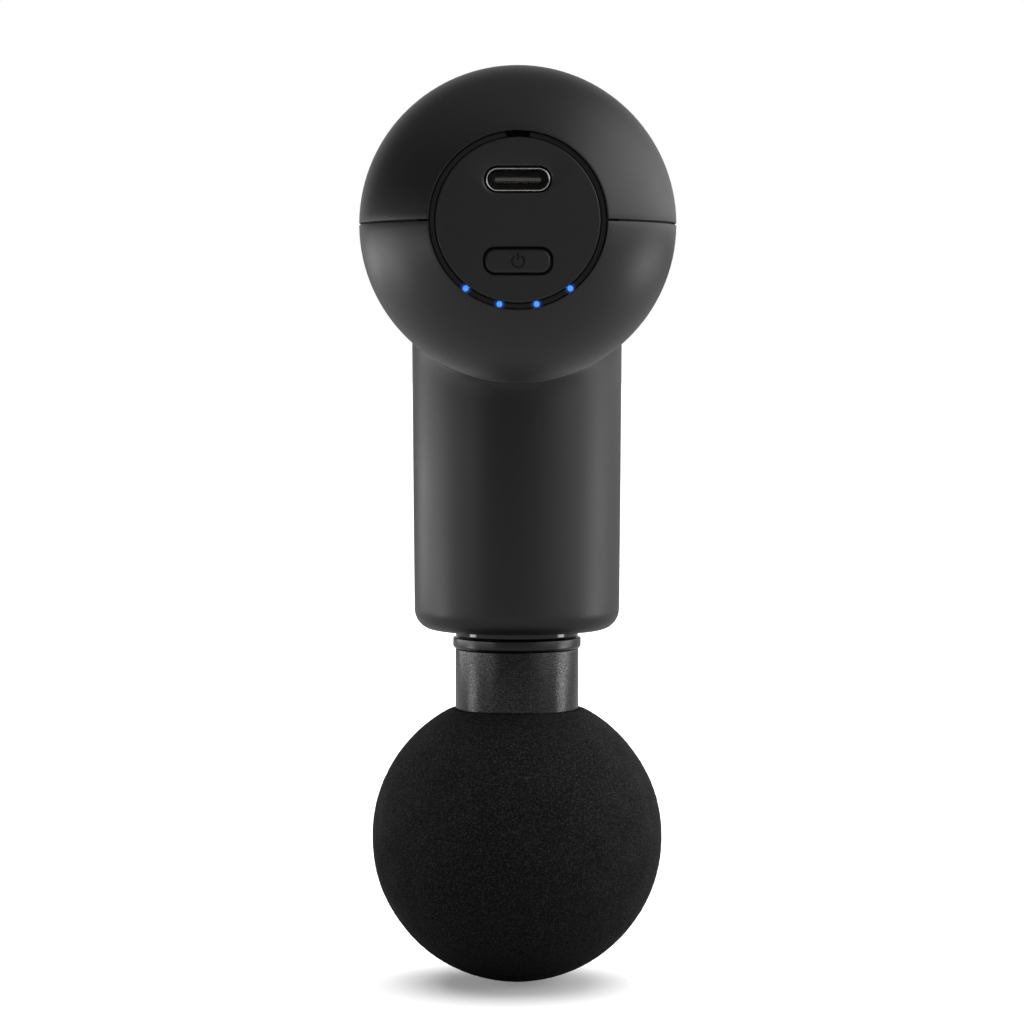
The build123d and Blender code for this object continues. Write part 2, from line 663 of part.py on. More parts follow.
def all_nodes():
    """Every node's name with its solid or solids."""
    front_outer, front_inner, front_balls = ball_bearing(PLATE_FRONT_Y + BEARING_W / 2)
    rear_outer, rear_inner, rear_balls = ball_bearing(MOTOR_TUBE_END - BEARING_W / 2)
    big_outer, big_inner, big_balls = ball_bearing(0, z=CRANK_THROW)
    nodes = {
        "lower_shell": lower_shell(),
        "upper_shell": upper_shell(),
        "shell_screws": shell_screws(),
        "screw_plugs": screw_plugs(),
        "vent_cap": vent_cap(),
        "end_disc": end_disc(),
        "light_ring": light_ring(),
        "light_pipes": light_pipes(),
        "light_chips": light_chips(),
        "end_carrier": end_carrier(),
        "carrier_screws": carrier_screws(),
        "control_board": control_board(),
        "board_chips": board_chips(),
        "usb_shell": usb_shell(),
        "usb_tongue": usb_tongue(),
        "power_button": power_button(),
        "switch_stem": switch_stem(),
        "key_switch": key_switch(),
        "front_cell_holder": cell_holder(CELL_FRONT_Y - 0.9 - HOLDER_THICK),
        "rear_cell_holder": cell_holder(CELL_REAR_Y),
        "nickel_strips": nickel_strips(),
        "ribbon_cable": ribbon_cable(),
        "driver_board": driver_board(),
        "driver_chips": driver_chips(),
        "power_leads": power_leads(),
        "motor_leads": motor_leads(),
        "motor_base": motor_base(),
        "motor_screws": motor_screws(),
        "bearing_outer_rings": [front_outer, rear_outer],
        "bearing_inner_rings": [front_inner, rear_inner],
        "bearing_balls": front_balls + rear_balls,
        "stator_core": stator_core(),
        "windings": windings(),
        "rotor_bell": rotor_bell(),
        "magnets": magnets(),
        "motor_shaft": motor_shaft(),
        "drive_frame": drive_frame(),
        "frame_isolators": frame_isolators(),
        "frame_screws": frame_screws(),
        "crank_wheel": crank_wheel(),
        "crank_pin": crank_pin(),
        "connecting_rod": connecting_rod(),
        "big_end_outer_ring": big_outer,
        "big_end_inner_ring": big_inner,
        "big_end_balls": big_balls,
        "small_end_bush": small_end_bush(),
        "wrist_pin": wrist_pin(),
        "plunger": plunger(),
        "guide_bush": guide_bush(),
        "bush_clip": bush_clip(),
        "nose_seal": nose_seal(),
        "head_stem": head_stem(),
        "head_o_rings": head_o_rings(),
        "damping_ring": damping_ring(),
        "head_collar": head_collar(),
        "head_core": head_core(),
        "foam_ball": foam_ball(),
    }
    for number, (x, z) in enumerate(cell_places(), start=1):
        nodes[f"battery_cell_{number}"] = battery_cell(x, z)
    return nodes


os.makedirs("parts", exist_ok=True)
for name, shape in all_nodes().items():
    whole = Compound(shape) if isinstance(shape, list) else shape
    export_step(Pos(0, GRIP_TO_HEAD, 0) * whole, f"parts/{name}.step")
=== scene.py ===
import json
import math

import bmesh
import bpy
from mathutils import Matrix, Vector, noise


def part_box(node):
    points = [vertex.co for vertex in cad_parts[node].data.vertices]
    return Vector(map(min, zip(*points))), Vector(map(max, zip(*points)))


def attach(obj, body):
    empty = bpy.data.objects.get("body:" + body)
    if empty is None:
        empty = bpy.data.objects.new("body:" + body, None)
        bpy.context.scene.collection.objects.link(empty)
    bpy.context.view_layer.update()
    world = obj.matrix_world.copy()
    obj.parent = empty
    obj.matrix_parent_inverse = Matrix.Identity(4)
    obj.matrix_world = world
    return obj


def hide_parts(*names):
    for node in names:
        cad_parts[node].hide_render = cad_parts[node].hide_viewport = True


# A small massage gun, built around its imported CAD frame. Lengths inside the mesh functions are in
# millimetres with the percussion axis at y = 0, and build() turns them into metres in the CAD frame.

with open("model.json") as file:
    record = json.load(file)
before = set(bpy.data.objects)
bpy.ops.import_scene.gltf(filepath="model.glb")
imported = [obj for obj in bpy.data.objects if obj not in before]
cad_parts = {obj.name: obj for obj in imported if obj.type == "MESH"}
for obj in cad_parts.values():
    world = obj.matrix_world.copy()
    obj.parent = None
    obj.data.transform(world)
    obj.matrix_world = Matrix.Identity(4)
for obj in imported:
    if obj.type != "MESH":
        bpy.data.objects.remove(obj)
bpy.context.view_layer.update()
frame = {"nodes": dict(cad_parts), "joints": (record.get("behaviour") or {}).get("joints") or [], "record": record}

MM = 0.001
JOINTS = {joint["name"]: joint for joint in frame["joints"]}
HEAD_Y = JOINTS["motor_spin"]["pos_m"][1]


def span(node):
    """A CAD node's lowest and highest corners in the working millimetres."""
    low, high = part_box(node)
    shift = Vector((0, HEAD_Y, 0))
    return (low - shift) / MM, (high - shift) / MM


def middle(node):
    low, high = span(node)
    return (low + high) / 2


def centres(points, group):
    """Middle of the box round each group of flat points, where group() gives a point's key."""
    groups = {}
    for point in points:
        groups.setdefault(group(point), []).append(point)
    boxes = [tuple(zip(*groups[key])) for key in sorted(groups)]
    return [((min(a) + max(a)) / 2, (min(b) + max(b)) / 2) for a, b in boxes]


# Places taken from the frame
BUTT_Y, FAR_Y = span("upper_shell")[0].y, span("upper_shell")[1].y
HANDLE_R = span("upper_shell")[1].z
SNOUT_END_Z = span("lower_shell")[0].z
DISC_FACE_Y = span("end_disc")[0].y
DISC_R = span("end_disc")[1].z
RING_FACE_Y = span("light_ring")[0].y
BALL_BOTTOM_Z = span("foam_ball")[0].z
FLOOR_Z = (BALL_BOTTOM_Z - 0.53) * MM

# Shapes. SKIN is the gap between a piece and the CAD under it, and AXIS_R the smallest radius of a profile.
END_OPENING_R = 12.4
WALL = 2.0
RIM_DEPTH = math.sqrt(HANDLE_R**2 - END_OPENING_R**2)
BUTT_EQUATOR = BUTT_Y + RIM_DEPTH
FAR_EQUATOR = FAR_Y - RIM_DEPTH
SPLIT_HALF = 0.12
SPLIT_ROUND = 0.12
SNOUT_TOP_R = 17.66
SNOUT_BOTTOM_R = 17.25
SNOUT_TOP_Z = -10.0
SNOUT_EDGE = 3.5
NOSE_OPENING_R = 12.0
PLUG_HOLE_R = 2.4
CAP_R, CAP_BORE_R, CAP_FLANGE_R = 12.3, 10.8, 13.6
VENT_REACH, VENT_PITCH, VENT_WIDTH = 9.2, 3.2, 1.4
USB_W, USB_H = 8.94, 3.26
USB_POCKET_W, USB_POCKET_H = 9.36, 3.66
BUTTON_W, BUTTON_H, BUTTON_CORNER = 9.2, 3.4, 1.45
BUTTON_POCKET_W, BUTTON_POCKET_H = 9.7, 3.9
LIGHT_RING_IN, LIGHT_RING_OUT = 11.55, 12.36
LIGHT_DOT_R = 0.4
LIGHT_GAP = 4.0
PLUNGER_R = 10.3
PLUNGER_TOP_R = 6.5
SOCKET_R = 8.0
SOCKET_TOP_Z = -44.0
STEM_R, STEM_CORE_R, STEM_TIP_R, STEM_GROOVE_R = 7.9, 6.5, 7.1, 7.2
O_RING_R, O_RING_SECTION_R = 7.08, 0.85
RING_R, RING_BORE_R = 10.78, 8.0
COLLAR_R = 10.38
BALL_R = 24.35
BALL_DROP = 0.2
BALL_FLAT = 0.9
PINCH_R, PINCH_DEPTH = 10.9, 0.35
DENT_EDGE, DENT_DEPTH = 0.7, 0.5
SKIN = 0.02
AXIS_R = 0.001

# Casing mesh. The straight part of the handle has evenly spaced rows in front of the snout and finer ones
# over it, and its columns are finer near the parting edge. The snout grows out of the patch in the middle.
PATCH_FRONT_Y = -23.0
PATCH_REAR_Y = 23.2
PATCH_ANGLE = 66.0
STRAIGHT_ROWS = 47
FRONT_ROWS = 20
END_ROWS = 36
EDGE_COLUMNS = 6
SHOULDER_COLUMNS = 7
MIDDLE_COLUMNS = 48
MIDDLE_FIRST = EDGE_COLUMNS + SHOULDER_COLUMNS
MIDDLE_LAST = MIDDLE_FIRST + MIDDLE_COLUMNS

# Studio: glow of the floor near the object, the room's level, and the soft lobes of light in the world, each
# as direction, the two cosines between which it rises, and strength
FLOOR_SIZE = 12.0
FLOOR_GLOW = 0.19
WORLD_DIM = 0.07
WORLD_LOBES = [
    ((0, 1, -0.15), 0.6, 1.0, 0.75),
    ((0.97, 0.02, 0.02), 0.35, 0.95, 2.0),
    ((0.0, -1, -0.12), 0.55, 1.0, 0.18),
    ((0.35, -0.25, -0.9), 0.35, 1.0, 0.2),
]

# Camera: its place in millimetres from the percussion axis and its pitch
CAMERA_X = -0.83
CAMERA_BACK = 606.0
CAMERA_Z = -18.3
CAMERA_PITCH = 2.545
CAMERA_LENS = 126.56


# ---------------------------------------------------------------- mesh building


def build(name, verts, faces, material, smooth_angle=35.0):
    """A mesh object from working millimetres, with clean normals and sharp edges past an angle."""
    mesh = bpy.data.meshes.new(name)
    mesh.from_pydata([(x * MM, y * MM + HEAD_Y, z * MM) for x, y, z in verts], [], faces)
    obj = bpy.data.objects.new(name, mesh)
    bpy.context.scene.collection.objects.link(obj)
    tidy(mesh, smooth_angle)
    mesh.materials.append(material)
    return obj


def tidy(mesh, smooth_angle):
    """Merges doubles, turns the normals out and marks edges past the angle sharp."""
    bm = bmesh.new()
    bm.from_mesh(mesh)
    bmesh.ops.remove_doubles(bm, verts=bm.verts, dist=1e-7)
    bmesh.ops.dissolve_degenerate(bm, dist=1e-8, edges=bm.edges)
    bmesh.ops.recalc_face_normals(bm, faces=bm.faces)
    bm.to_mesh(mesh)
    bm.free()
    mesh.polygons.foreach_set("use_smooth", [True] * len(mesh.polygons))
    mesh.set_sharp_from_angle(angle=math.radians(smooth_angle))


def arc(centre, radius, start, end, count):
    """Points on an arc in a profile plane, from start to end degrees."""
    points = []
    for i in range(count + 1):
        angle = math.radians(start + (end - start) * i / count)
        points.append((centre[0] + radius * math.cos(angle), centre[1] + radius * math.sin(angle)))
    return points


def bend(a, b, c, count):
    """Points of a quadratic curve from a to c that leaves towards b."""
    points = []
    for i in range(count + 1):
        t = i / count
        points.append(tuple((1 - t) ** 2 * p + 2 * t * (1 - t) * q + t * t * r for p, q, r in zip(a, b, c)))
    return points


def rounded(corners, radius, count=4):
    """A closed profile with each corner rounded. A corner is (r, h) or (r, h, its own radius)."""
    points = []
    total = len(corners)
    for i, corner in enumerate(corners):
        here = Vector(corner[:2])
        before = Vector(corners[i - 1][:2])
        after = Vector(corners[(i + 1) % total][:2])
        reach = corner[2] if len(corner) > 2 else radius
        if reach <= 0:
            points.append(tuple(here))
            continue
        a = here + (before - here).normalized() * min(reach, (before - here).length * 0.49)
        b = here + (after - here).normalized() * min(reach, (after - here).length * 0.49)
        points += bend(a, here, b, count)
    return points


def revolve(profile, axis, segments=128, centre=(0.0, 0.0)):
    """Verts and faces of a closed profile of (radius, height) turned about an axis, "Y" or "Z"."""
    verts = []
    for i in range(segments):
        angle = 2 * math.pi * i / segments
        c, s = math.cos(angle), math.sin(angle)
        for r, h in profile:
            a, b = centre[0] + r * c, centre[1] + r * s
            verts.append((a, h, b) if axis == "Y" else (a, b, h))
    n = len(profile)
    faces = []
    for i in range(segments):
        j = (i + 1) % segments
        for k in range(n):
            m = (k + 1) % n
            faces.append((i * n + k, i * n + m, j * n + m, j * n + k))
    return verts, faces


def turned(name, profile, material, axis="Z", segments=128, centre=(0.0, 0.0), smooth_angle=35.0):
    """A piece turned from a closed profile."""
    verts, faces = revolve(profile, axis, segments, centre)
    return build(name, verts, faces, material, smooth_angle)


def oblong(width, height, count=16, corner=None):
    """Outline in X and Z of a bar with round ends, or with a smaller corner radius."""
    r = corner or height / 2
    run, rise = width / 2 - r, height / 2 - r
    points = []
    for quarter, (x, z) in enumerate(((run, -rise), (run, rise), (-run, rise), (-run, -rise))):
        points += arc((x, z), r, 90 * quarter - 90, 90 * quarter, count // 2)
    return points


def oblong_stack(start_y, z, width, height, steps, count=16, corner=None):
    """Outlines for loft(): an oblong for each step (depth from start_y, growth on each side)."""
    outlines = []
    for depth, grow in steps:
        radius = corner + grow if corner else None
        shape = oblong(width + 2 * grow, height + 2 * grow, count, radius)
        outlines.append((start_y + depth, lifted(shape, z)))
    return outlines


def loft(outlines, closed=False):
    """Verts and faces of outlines in X and Z, each at its own y. Caps the two ends unless closed."""
    count = len(outlines[0][1])
    verts = [(x, y, z) for y, outline in outlines for x, z in outline]
    faces = []
    steps = len(outlines) if closed else len(outlines) - 1
    for i in range(steps):
        j = (i + 1) % len(outlines)
        for k in range(count):
            m = (k + 1) % count
            faces.append((i * count + k, i * count + m, j * count + m, j * count + k))
    if not closed:
        faces.append(tuple(range(count)))
        last = (len(outlines) - 1) * count
        faces.append(tuple(range(last, last + count)))
    return verts, faces


def lifted(outline, z):
    return [(x, h + z) for x, h in outline]


def cut(obj, cutters):
    """Takes cutters out of obj for good, and removes them."""
    for cutter in cutters:
        step = obj.modifiers.new("cut", "BOOLEAN")
        step.operation = "DIFFERENCE"
        step.solver = "EXACT"
        step.object = cutter
    bpy.context.view_layer.update()
    made = bpy.data.meshes.new_from_object(obj.evaluated_get(bpy.context.evaluated_depsgraph_get()))
    obj.modifiers.clear()
    material = obj.data.materials[0]
    obj.data = made
    obj.data.materials.clear()
    obj.data.materials.append(material)
    for cutter in cutters:
        bpy.data.objects.remove(cutter)
    tidy(obj.data, 30.0)
    return obj


def join(name, parts, material, smooth_angle=35.0):
    """One object from several lists of verts and faces."""
    verts, faces = [], []
    for part_verts, part_faces in parts:
        start = len(verts)
        verts += part_verts
        faces += [tuple(start + i for i in face) for face in part_faces]
    return build(name, verts, faces, material, smooth_angle)


def place(obj, body, *nodes, slot):
    """Gives a piece its body and hides the CAD nodes that it replaces. The slot is not used."""
    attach(obj, body)
    if nodes:
        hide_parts(*nodes)
    return obj


# ---------------------------------------------------------------- materials


def new_material(name):
    """A material with its nodes, links, shader and object coordinates."""
    material = bpy.data.materials.new(name)
    material.use_nodes = True
    nodes = material.node_tree.nodes
    coords = nodes.new("ShaderNodeTexCoord").outputs["Object"]
    return material, nodes, material.node_tree.links, nodes["Principled BSDF"], coords


def noise_node(nodes, links, coords, scale, detail=3.0, roughness=0.5):
    node = nodes.new("ShaderNodeTexNoise")
    node.inputs["Scale"].default_value = scale
    node.inputs["Detail"].default_value = detail
    node.inputs["Roughness"].default_value = roughness
    links.new(coords, node.inputs["Vector"])
    return node.outputs["Fac"]


def ranged(nodes, links, value, low, high, from_low=0.0, from_high=1.0, curve="LINEAR"):
    """Takes a value from one range to another and holds it at the ends."""
    node = nodes.new("ShaderNodeMapRange")
    node.interpolation_type = curve
    node.inputs["From Min"].default_value = from_low
    node.inputs["From Max"].default_value = from_high
    node.inputs["To Min"].default_value = low
    node.inputs["To Max"].default_value = high
    links.new(value, node.inputs["Value"])
    return node.outputs["Result"]


def calculated(nodes, links, operation, *values):
    """Output of a math node. Each value is a number or another node's output."""
    node = nodes.new("ShaderNodeMath")
    node.operation = operation
    for value, socket in zip(values, node.inputs):
        if isinstance(value, float):
            socket.default_value = value
        else:
            links.new(value, socket)
    return node.outputs["Value"]


def measured(nodes, links, operation, coords, vector):
    """Distance or dot product of the coordinates and a fixed vector."""
    node = nodes.new("ShaderNodeVectorMath")
    node.operation = operation
    node.inputs[1].default_value = vector
    links.new(coords, node.inputs[0])
    return node.outputs["Value"]


def blended(nodes, links, factor, low, high):
    node = nodes.new("ShaderNodeMix")
    node.data_type = "RGBA"
    node.inputs["A"].default_value = (*low, 1)
    node.inputs["B"].default_value = (*high, 1)
    links.new(factor, node.inputs["Factor"])
    return node.outputs["Result"]


def bumped(nodes, links, shader, layers):
    """Chains bump layers, each (height, distance in metres, strength)."""
    previous = None
    for height, distance, strength in layers:
        node = nodes.new("ShaderNodeBump")
        node.inputs["Distance"].default_value = distance
        node.inputs["Strength"].default_value = strength
        links.new(height, node.inputs["Height"])
        if previous:
            links.new(previous, node.inputs["Normal"])
        previous = node.outputs["Normal"]
    links.new(previous, shader.inputs["Normal"])


def moulded(
    name, color, rough, grain=2600.0, grain_depth=0.00002, strength=0.25, spread=0.04, metal=0.0
):
    """Moulded, cast or coated surface: fine grain, slow colour drift and uneven gloss."""
    material, nodes, links, shader, coords = new_material(name)
    fine = noise_node(nodes, links, coords, grain, 2.0)
    slow = noise_node(nodes, links, coords, 45.0, 3.0)
    dark = tuple(c * 0.88 for c in color)
    light = tuple(min(1.0, c * 1.12) for c in color)
    links.new(blended(nodes, links, slow, dark, light), shader.inputs["Base Color"])
    gloss = ranged(nodes, links, slow, rough - spread, rough + spread, 0.3, 0.7)
    links.new(gloss, shader.inputs["Roughness"])
    shader.inputs["Metallic"].default_value = metal
    bumped(nodes, links, shader, [(fine, grain_depth, strength)])
    return material


def sparkled(name, color, glint, rough):
    """Spark-eroded plastic: a coarse grain whose facets glint through gloss and bump, with lighter spots painted
    into the colour as painted glints.
    """
    material, nodes, links, shader, coords = new_material(name)
    cells = nodes.new("ShaderNodeTexVoronoi")
    cells.inputs["Scale"].default_value = 3900.0
    links.new(coords, cells.inputs["Vector"])
    grain = noise_node(nodes, links, coords, 4300.0, 3.0, 0.6)
    # Lighter spots of the grain in the base colour are painted glints.
    painted_glint_spots = ranged(nodes, links, grain, 0.0, 1.0, 0.52, 0.72)
    links.new(blended(nodes, links, painted_glint_spots, color, glint), shader.inputs["Base Color"])
    gloss = ranged(nodes, links, grain, rough + 0.07, rough - 0.04, 0.35, 0.65)
    links.new(gloss, shader.inputs["Roughness"])
    links.new(ranged(nodes, links, grain, 0.22, 0.85, 0.35, 0.68), shader.inputs["Specular IOR Level"])
    bumped(nodes, links, shader, [(cells.outputs["Distance"], 0.00004, 0.4), (grain, 0.00004, 0.45)])
    return material


def foam_material():
    """Closed-cell foam: near black, with a fine grain of pores and pale specks."""
    material, nodes, links, shader, coords = new_material("eva_foam")
    pores = nodes.new("ShaderNodeTexVoronoi")
    pores.inputs["Scale"].default_value = 2100.0
    links.new(coords, pores.inputs["Vector"])
    grain = noise_node(nodes, links, coords, 3600.0, 4.0, 0.7)
    patches = noise_node(nodes, links, coords, 190.0, 3.0)
    specks = ranged(nodes, links, grain, 0.0, 1.0, 0.48, 0.78)
    tint = blended(nodes, links, specks, (0.0043, 0.0043, 0.0045), (0.047, 0.047, 0.048))
    links.new(tint, shader.inputs["Base Color"])
    links.new(ranged(nodes, links, patches, 0.78, 0.95, 0.3, 0.7), shader.inputs["Roughness"])
    shader.inputs["Specular IOR Level"].default_value = 0.14
    bumped(nodes, links, shader, [(pores.outputs["Distance"], 0.00009, 0.5), (grain, 0.00008, 0.55)])
    return material


def brushed(name, color, rough, scale=(60.0, 60.0, 2400.0)):
    """Metal with turning or rolling lines along one direction."""
    material, nodes, links, shader, coords = new_material(name)
    stretch = nodes.new("ShaderNodeMapping")
    stretch.inputs["Scale"].default_value = scale
    links.new(coords, stretch.inputs["Vector"])
    lines = noise_node(nodes, links, stretch.outputs["Vector"], 1.0, 3.0, 0.6)
    slow = noise_node(nodes, links, coords, 90.0, 2.0)
    dark = tuple(c * 0.85 for c in color)
    links.new(blended(nodes, links, slow, dark, color), shader.inputs["Base Color"])
    links.new(ranged(nodes, links, lines, rough - 0.08, rough + 0.08, 0.3, 0.7), shader.inputs["Roughness"])
    shader.inputs["Metallic"].default_value = 1.0
    bumped(nodes, links, shader, [(lines, 0.00001, 0.3)])
    return material


def striped(name, color, stripe, direction, pitch, rough, metal=0.0):
    """Laminations, wire turns or board tracks: bands across one direction."""
    material, nodes, links, shader, coords = new_material(name)
    wave = nodes.new("ShaderNodeTexWave")
    wave.bands_direction = direction
    wave.inputs["Scale"].default_value = pitch
    wave.inputs["Distortion"].default_value = 0.6
    links.new(coords, wave.inputs["Vector"])
    links.new(blended(nodes, links, wave.outputs["Fac"], color, stripe), shader.inputs["Base Color"])
    slow = noise_node(nodes, links, coords, 150.0, 2.0)
    links.new(ranged(nodes, links, slow, rough - 0.05, rough + 0.05, 0.3, 0.7), shader.inputs["Roughness"])
    shader.inputs["Metallic"].default_value = metal
    bumped(nodes, links, shader, [(wave.outputs["Fac"], 0.00006, 0.5)])
    return material


def light_material():
    """A lit light pipe, evenly bright."""
    material, nodes, links, shader, coords = new_material("charge_light")
    slow = noise_node(nodes, links, coords, 900.0, 2.0)
    tint = blended(nodes, links, slow, (0.05, 0.22, 0.95), (0.1, 0.32, 1.0))
    links.new(tint, shader.inputs["Base Color"])
    links.new(ranged(nodes, links, slow, 0.2, 0.3), shader.inputs["Roughness"])
    shader.inputs["Emission Color"].default_value = (0.075, 0.3, 1.0, 1)
    shader.inputs["Emission Strength"].default_value = 0.95
    return material


def smoked_ring_with_painted_glow(lights):
    """Smoked light ring, with a painted glow round each lit dot: emission in the ring that stands in for the dots'
    light.
    """
    material, nodes, links, shader, coords = new_material("smoked_ring_painted_glow")
    slow = noise_node(nodes, links, coords, 300.0, 2.0)
    tint = blended(nodes, links, slow, (0.004, 0.004, 0.005), (0.007, 0.007, 0.008))
    links.new(tint, shader.inputs["Base Color"])
    links.new(ranged(nodes, links, slow, 0.3, 0.42), shader.inputs["Roughness"])
    # Painted glow: emission that fades with the distance from each lit dot.
    total = 0.0
    for light in lights:
        away = measured(nodes, links, "DISTANCE", coords, light)
        near = ranged(nodes, links, away, 1.0, 0.0, 0.0003, 0.0010)
        total = calculated(nodes, links, "ADD", total, near)
    painted_glow = calculated(nodes, links, "POWER", total, 2.0)
    links.new(ranged(nodes, links, painted_glow, 0.0, 0.45), shader.inputs["Emission Strength"])
    shader.inputs["Emission Color"].default_value = (0.04, 0.16, 0.8, 1)
    return material


# ---------------------------------------------------------------- casing


def handle_profile(radius, opening_rows):
    """Rows (r, y, normal r, normal y) along one skin of the handle, from the butt to the far end."""
    stop = math.degrees(math.acos(END_OPENING_R / radius)) if opening_rows else 0.0
    edge = END_OPENING_R + 0.28 if opening_rows else END_OPENING_R
    last = math.degrees(math.acos(edge / radius))
    rows = []
    if opening_rows:
        corner_y = BUTT_EQUATOR - radius * math.sin(math.radians(stop))
        rows.append((END_OPENING_R, corner_y + 1.6, 0.0, 0.0))
        sphere = (edge, BUTT_EQUATOR - radius * math.sin(math.radians(last)))
        for r, y in bend((END_OPENING_R, corner_y + 0.4), (END_OPENING_R, corner_y), sphere, 4)[:-1]:
            rows.append((r, y, 0.0, 0.0))
    for i in range(END_ROWS + 1):
        angle = math.radians(last * (1 - i / END_ROWS))
        r, y = radius * math.cos(angle), BUTT_EQUATOR - radius * math.sin(angle)
        rows.append((r, y, math.cos(angle), -math.sin(angle)))
    for i in range(1, STRAIGHT_ROWS):
        rows.append((radius, straight_y(i), 1.0, 0.0))
    for i in range(END_ROWS + 1):
        angle = math.radians(last * i / END_ROWS)
        r, y = radius * math.cos(angle), FAR_EQUATOR + radius * math.sin(angle)
        rows.append((r, y, math.cos(angle), math.sin(angle)))
    if opening_rows:
        corner_y = FAR_EQUATOR + radius * math.sin(math.radians(stop))
        sphere = (edge, FAR_EQUATOR + radius * math.sin(math.radians(last)))
        for r, y in bend(sphere, (END_OPENING_R, corner_y), (END_OPENING_R, corner_y - 0.4), 4)[1:]:
            rows.append((r, y, 0.0, 0.0))
        rows.append((END_OPENING_R, corner_y - 1.6, 0.0, 0.0))
    return rows


def straight_y(i):
    """y of a row on the straight part of the handle."""
    if i <= FRONT_ROWS:
        return BUTT_EQUATOR + (PATCH_FRONT_Y - BUTT_EQUATOR) * i / FRONT_ROWS
    return PATCH_FRONT_Y + (FAR_EQUATOR - PATCH_FRONT_Y) * (i - FRONT_ROWS) / (STRAIGHT_ROWS - FRONT_ROWS)


def column_angles(radius_here):
    """Angles from straight up or down for each column, finer at the rounded parting edge."""
    edge_steps = [SPLIT_ROUND * step for step in (0.0, 0.05, 0.18, 0.36, 0.64, 1.0)]
    edge = [math.acos(min(1.0, (SPLIT_HALF + step) / radius_here)) for step in edge_steps]
    inner = edge[-1]
    wide = math.radians(PATCH_ANGLE)
    steps = SHOULDER_COLUMNS + 1
    shoulder = [inner + (wide - inner) * i / steps for i in range(1, steps)]
    across = [wide - 2 * wide * i / MIDDLE_COLUMNS for i in range(MIDDLE_COLUMNS + 1)]
    half = edge + shoulder
    return half + across + [-a for a in reversed(half)]


def edge_drop(distance):
    """How far the surface falls away this near to the rounded parting edge."""
    short = min(SPLIT_ROUND, max(0.0, SPLIT_ROUND - distance))
    return SPLIT_ROUND - math.sqrt(SPLIT_ROUND**2 - short**2)


def half_casing_grid(side, profile, outer_count):
    """Verts of a half shell: a row for each point of the profile, first those of the outer skin."""
    verts = []
    for k, (r, y, nr, ny) in enumerate(profile):
        for angle in column_angles(r):
            drop = edge_drop(r * math.cos(angle) - SPLIT_HALF) if k < outer_count else 0.0
            rr, yy = r - nr * drop, y - ny * drop
            verts.append((rr * math.sin(angle), yy, side * (r * math.cos(angle))))
    return verts


def handle_surface_z(x, y, radius):
    """Height of the handle's underside above a point."""
    beyond = max(0.0, y - FAR_EQUATOR)
    return -math.sqrt(max(0.0, radius**2 - x**2 - beyond**2))


def on_handle(angle, along, radius):
    """Point of the underside from its angle and its length along the handle."""
    turn = max(0.0, along - FAR_EQUATOR) / HANDLE_R
    r = radius * math.cos(turn)
    y = along if turn == 0 else FAR_EQUATOR + radius * math.sin(turn)
    return r * math.sin(angle), y, -r * math.cos(angle)


def unrolled(x, y, z):
    """Angle and length along the handle of a point of the underside, as on_handle() takes them."""
    turn = math.atan2(y - FAR_EQUATOR, math.hypot(x, z)) if y > FAR_EQUATOR else 0.0
    return math.atan2(x, -z), y if turn == 0 else FAR_EQUATOR + HANDLE_R * turn


def snout_rings(perimeter, skin):
    """Rings from the patch's edge in the handle skin, over a fillet, down the snout to its opening."""
    shared = [(NOSE_OPENING_R, SNOUT_END_Z + WALL)]
    if skin == "outer":
        radius, top_r, low_r, blend = HANDLE_R, SNOUT_TOP_R, SNOUT_BOTTOM_R, 1.8
        end, edge = SNOUT_END_Z, SNOUT_EDGE
        lip = bend((NOSE_OPENING_R + 0.25, end), (NOSE_OPENING_R, end), (NOSE_OPENING_R, end + 0.25), 3)
        tail = arc((low_r - edge, end + edge), edge, 0, -90, 12) + lip + shared
    else:
        radius, top_r, low_r, blend = HANDLE_R - WALL, SNOUT_TOP_R - WALL, SNOUT_BOTTOM_R - WALL, 1.0
        end, edge = SNOUT_END_Z + WALL, 1.5
        tail = arc((low_r - edge, end + edge), edge, 0, -90, 12) + shared
    slope = (top_r - low_r) / (SNOUT_TOP_Z - SNOUT_END_Z)
    wall_end, reach = end + edge, top_r + blend
    starts = [unrolled(*point) for point in perimeter]
    headings = [math.atan2(along, HANDLE_R * angle) for angle, along in starts]
    feet = []
    for heading in headings:
        x, y = reach * math.cos(heading), reach * math.sin(heading)
        feet.append((x, y, handle_surface_z(x, y, radius)))
    rings = []
    for t in (0.25, 0.5, 0.75):
        ring = []
        for start, foot in zip(starts, feet):
            between = [a + (b - a) * t for a, b in zip(start, unrolled(*foot))]
            ring.append(on_handle(*between, radius))
        rings.append(ring)
    columns = []
    for heading, foot in zip(headings, feet):
        c, s = math.cos(heading), math.sin(heading)
        corner_z = handle_surface_z(top_r * c, top_r * s, radius)
        corner = (top_r * c, top_r * s, corner_z)
        low_z = corner_z - blend
        r = low_r + slope * (low_z - SNOUT_END_Z)
        column = bend(foot, corner, (r * c, r * s, low_z), 6)
        for i in range(1, 15):
            z = low_z + (wall_end - low_z) * i / 15
            r = low_r + slope * (z - SNOUT_END_Z)
            column.append((r * c, r * s, z))
        column += [(r * c, r * s, z) for r, z in tail]
        columns.append(column)
    return rings + [list(ring) for ring in zip(*columns)]


def patch_loop(low, high, columns):
    """Indices of the verts round the patch between two rows, where the snout begins."""
    loop = [low * columns + c for c in range(MIDDLE_FIRST, MIDDLE_LAST)]
    loop += [k * columns + MIDDLE_LAST for k in range(low, high)]
    loop += [high * columns + c for c in range(MIDDLE_LAST, MIDDLE_FIRST, -1)]
    loop += [k * columns + MIDDLE_FIRST for k in range(high, low, -1)]
    return loop


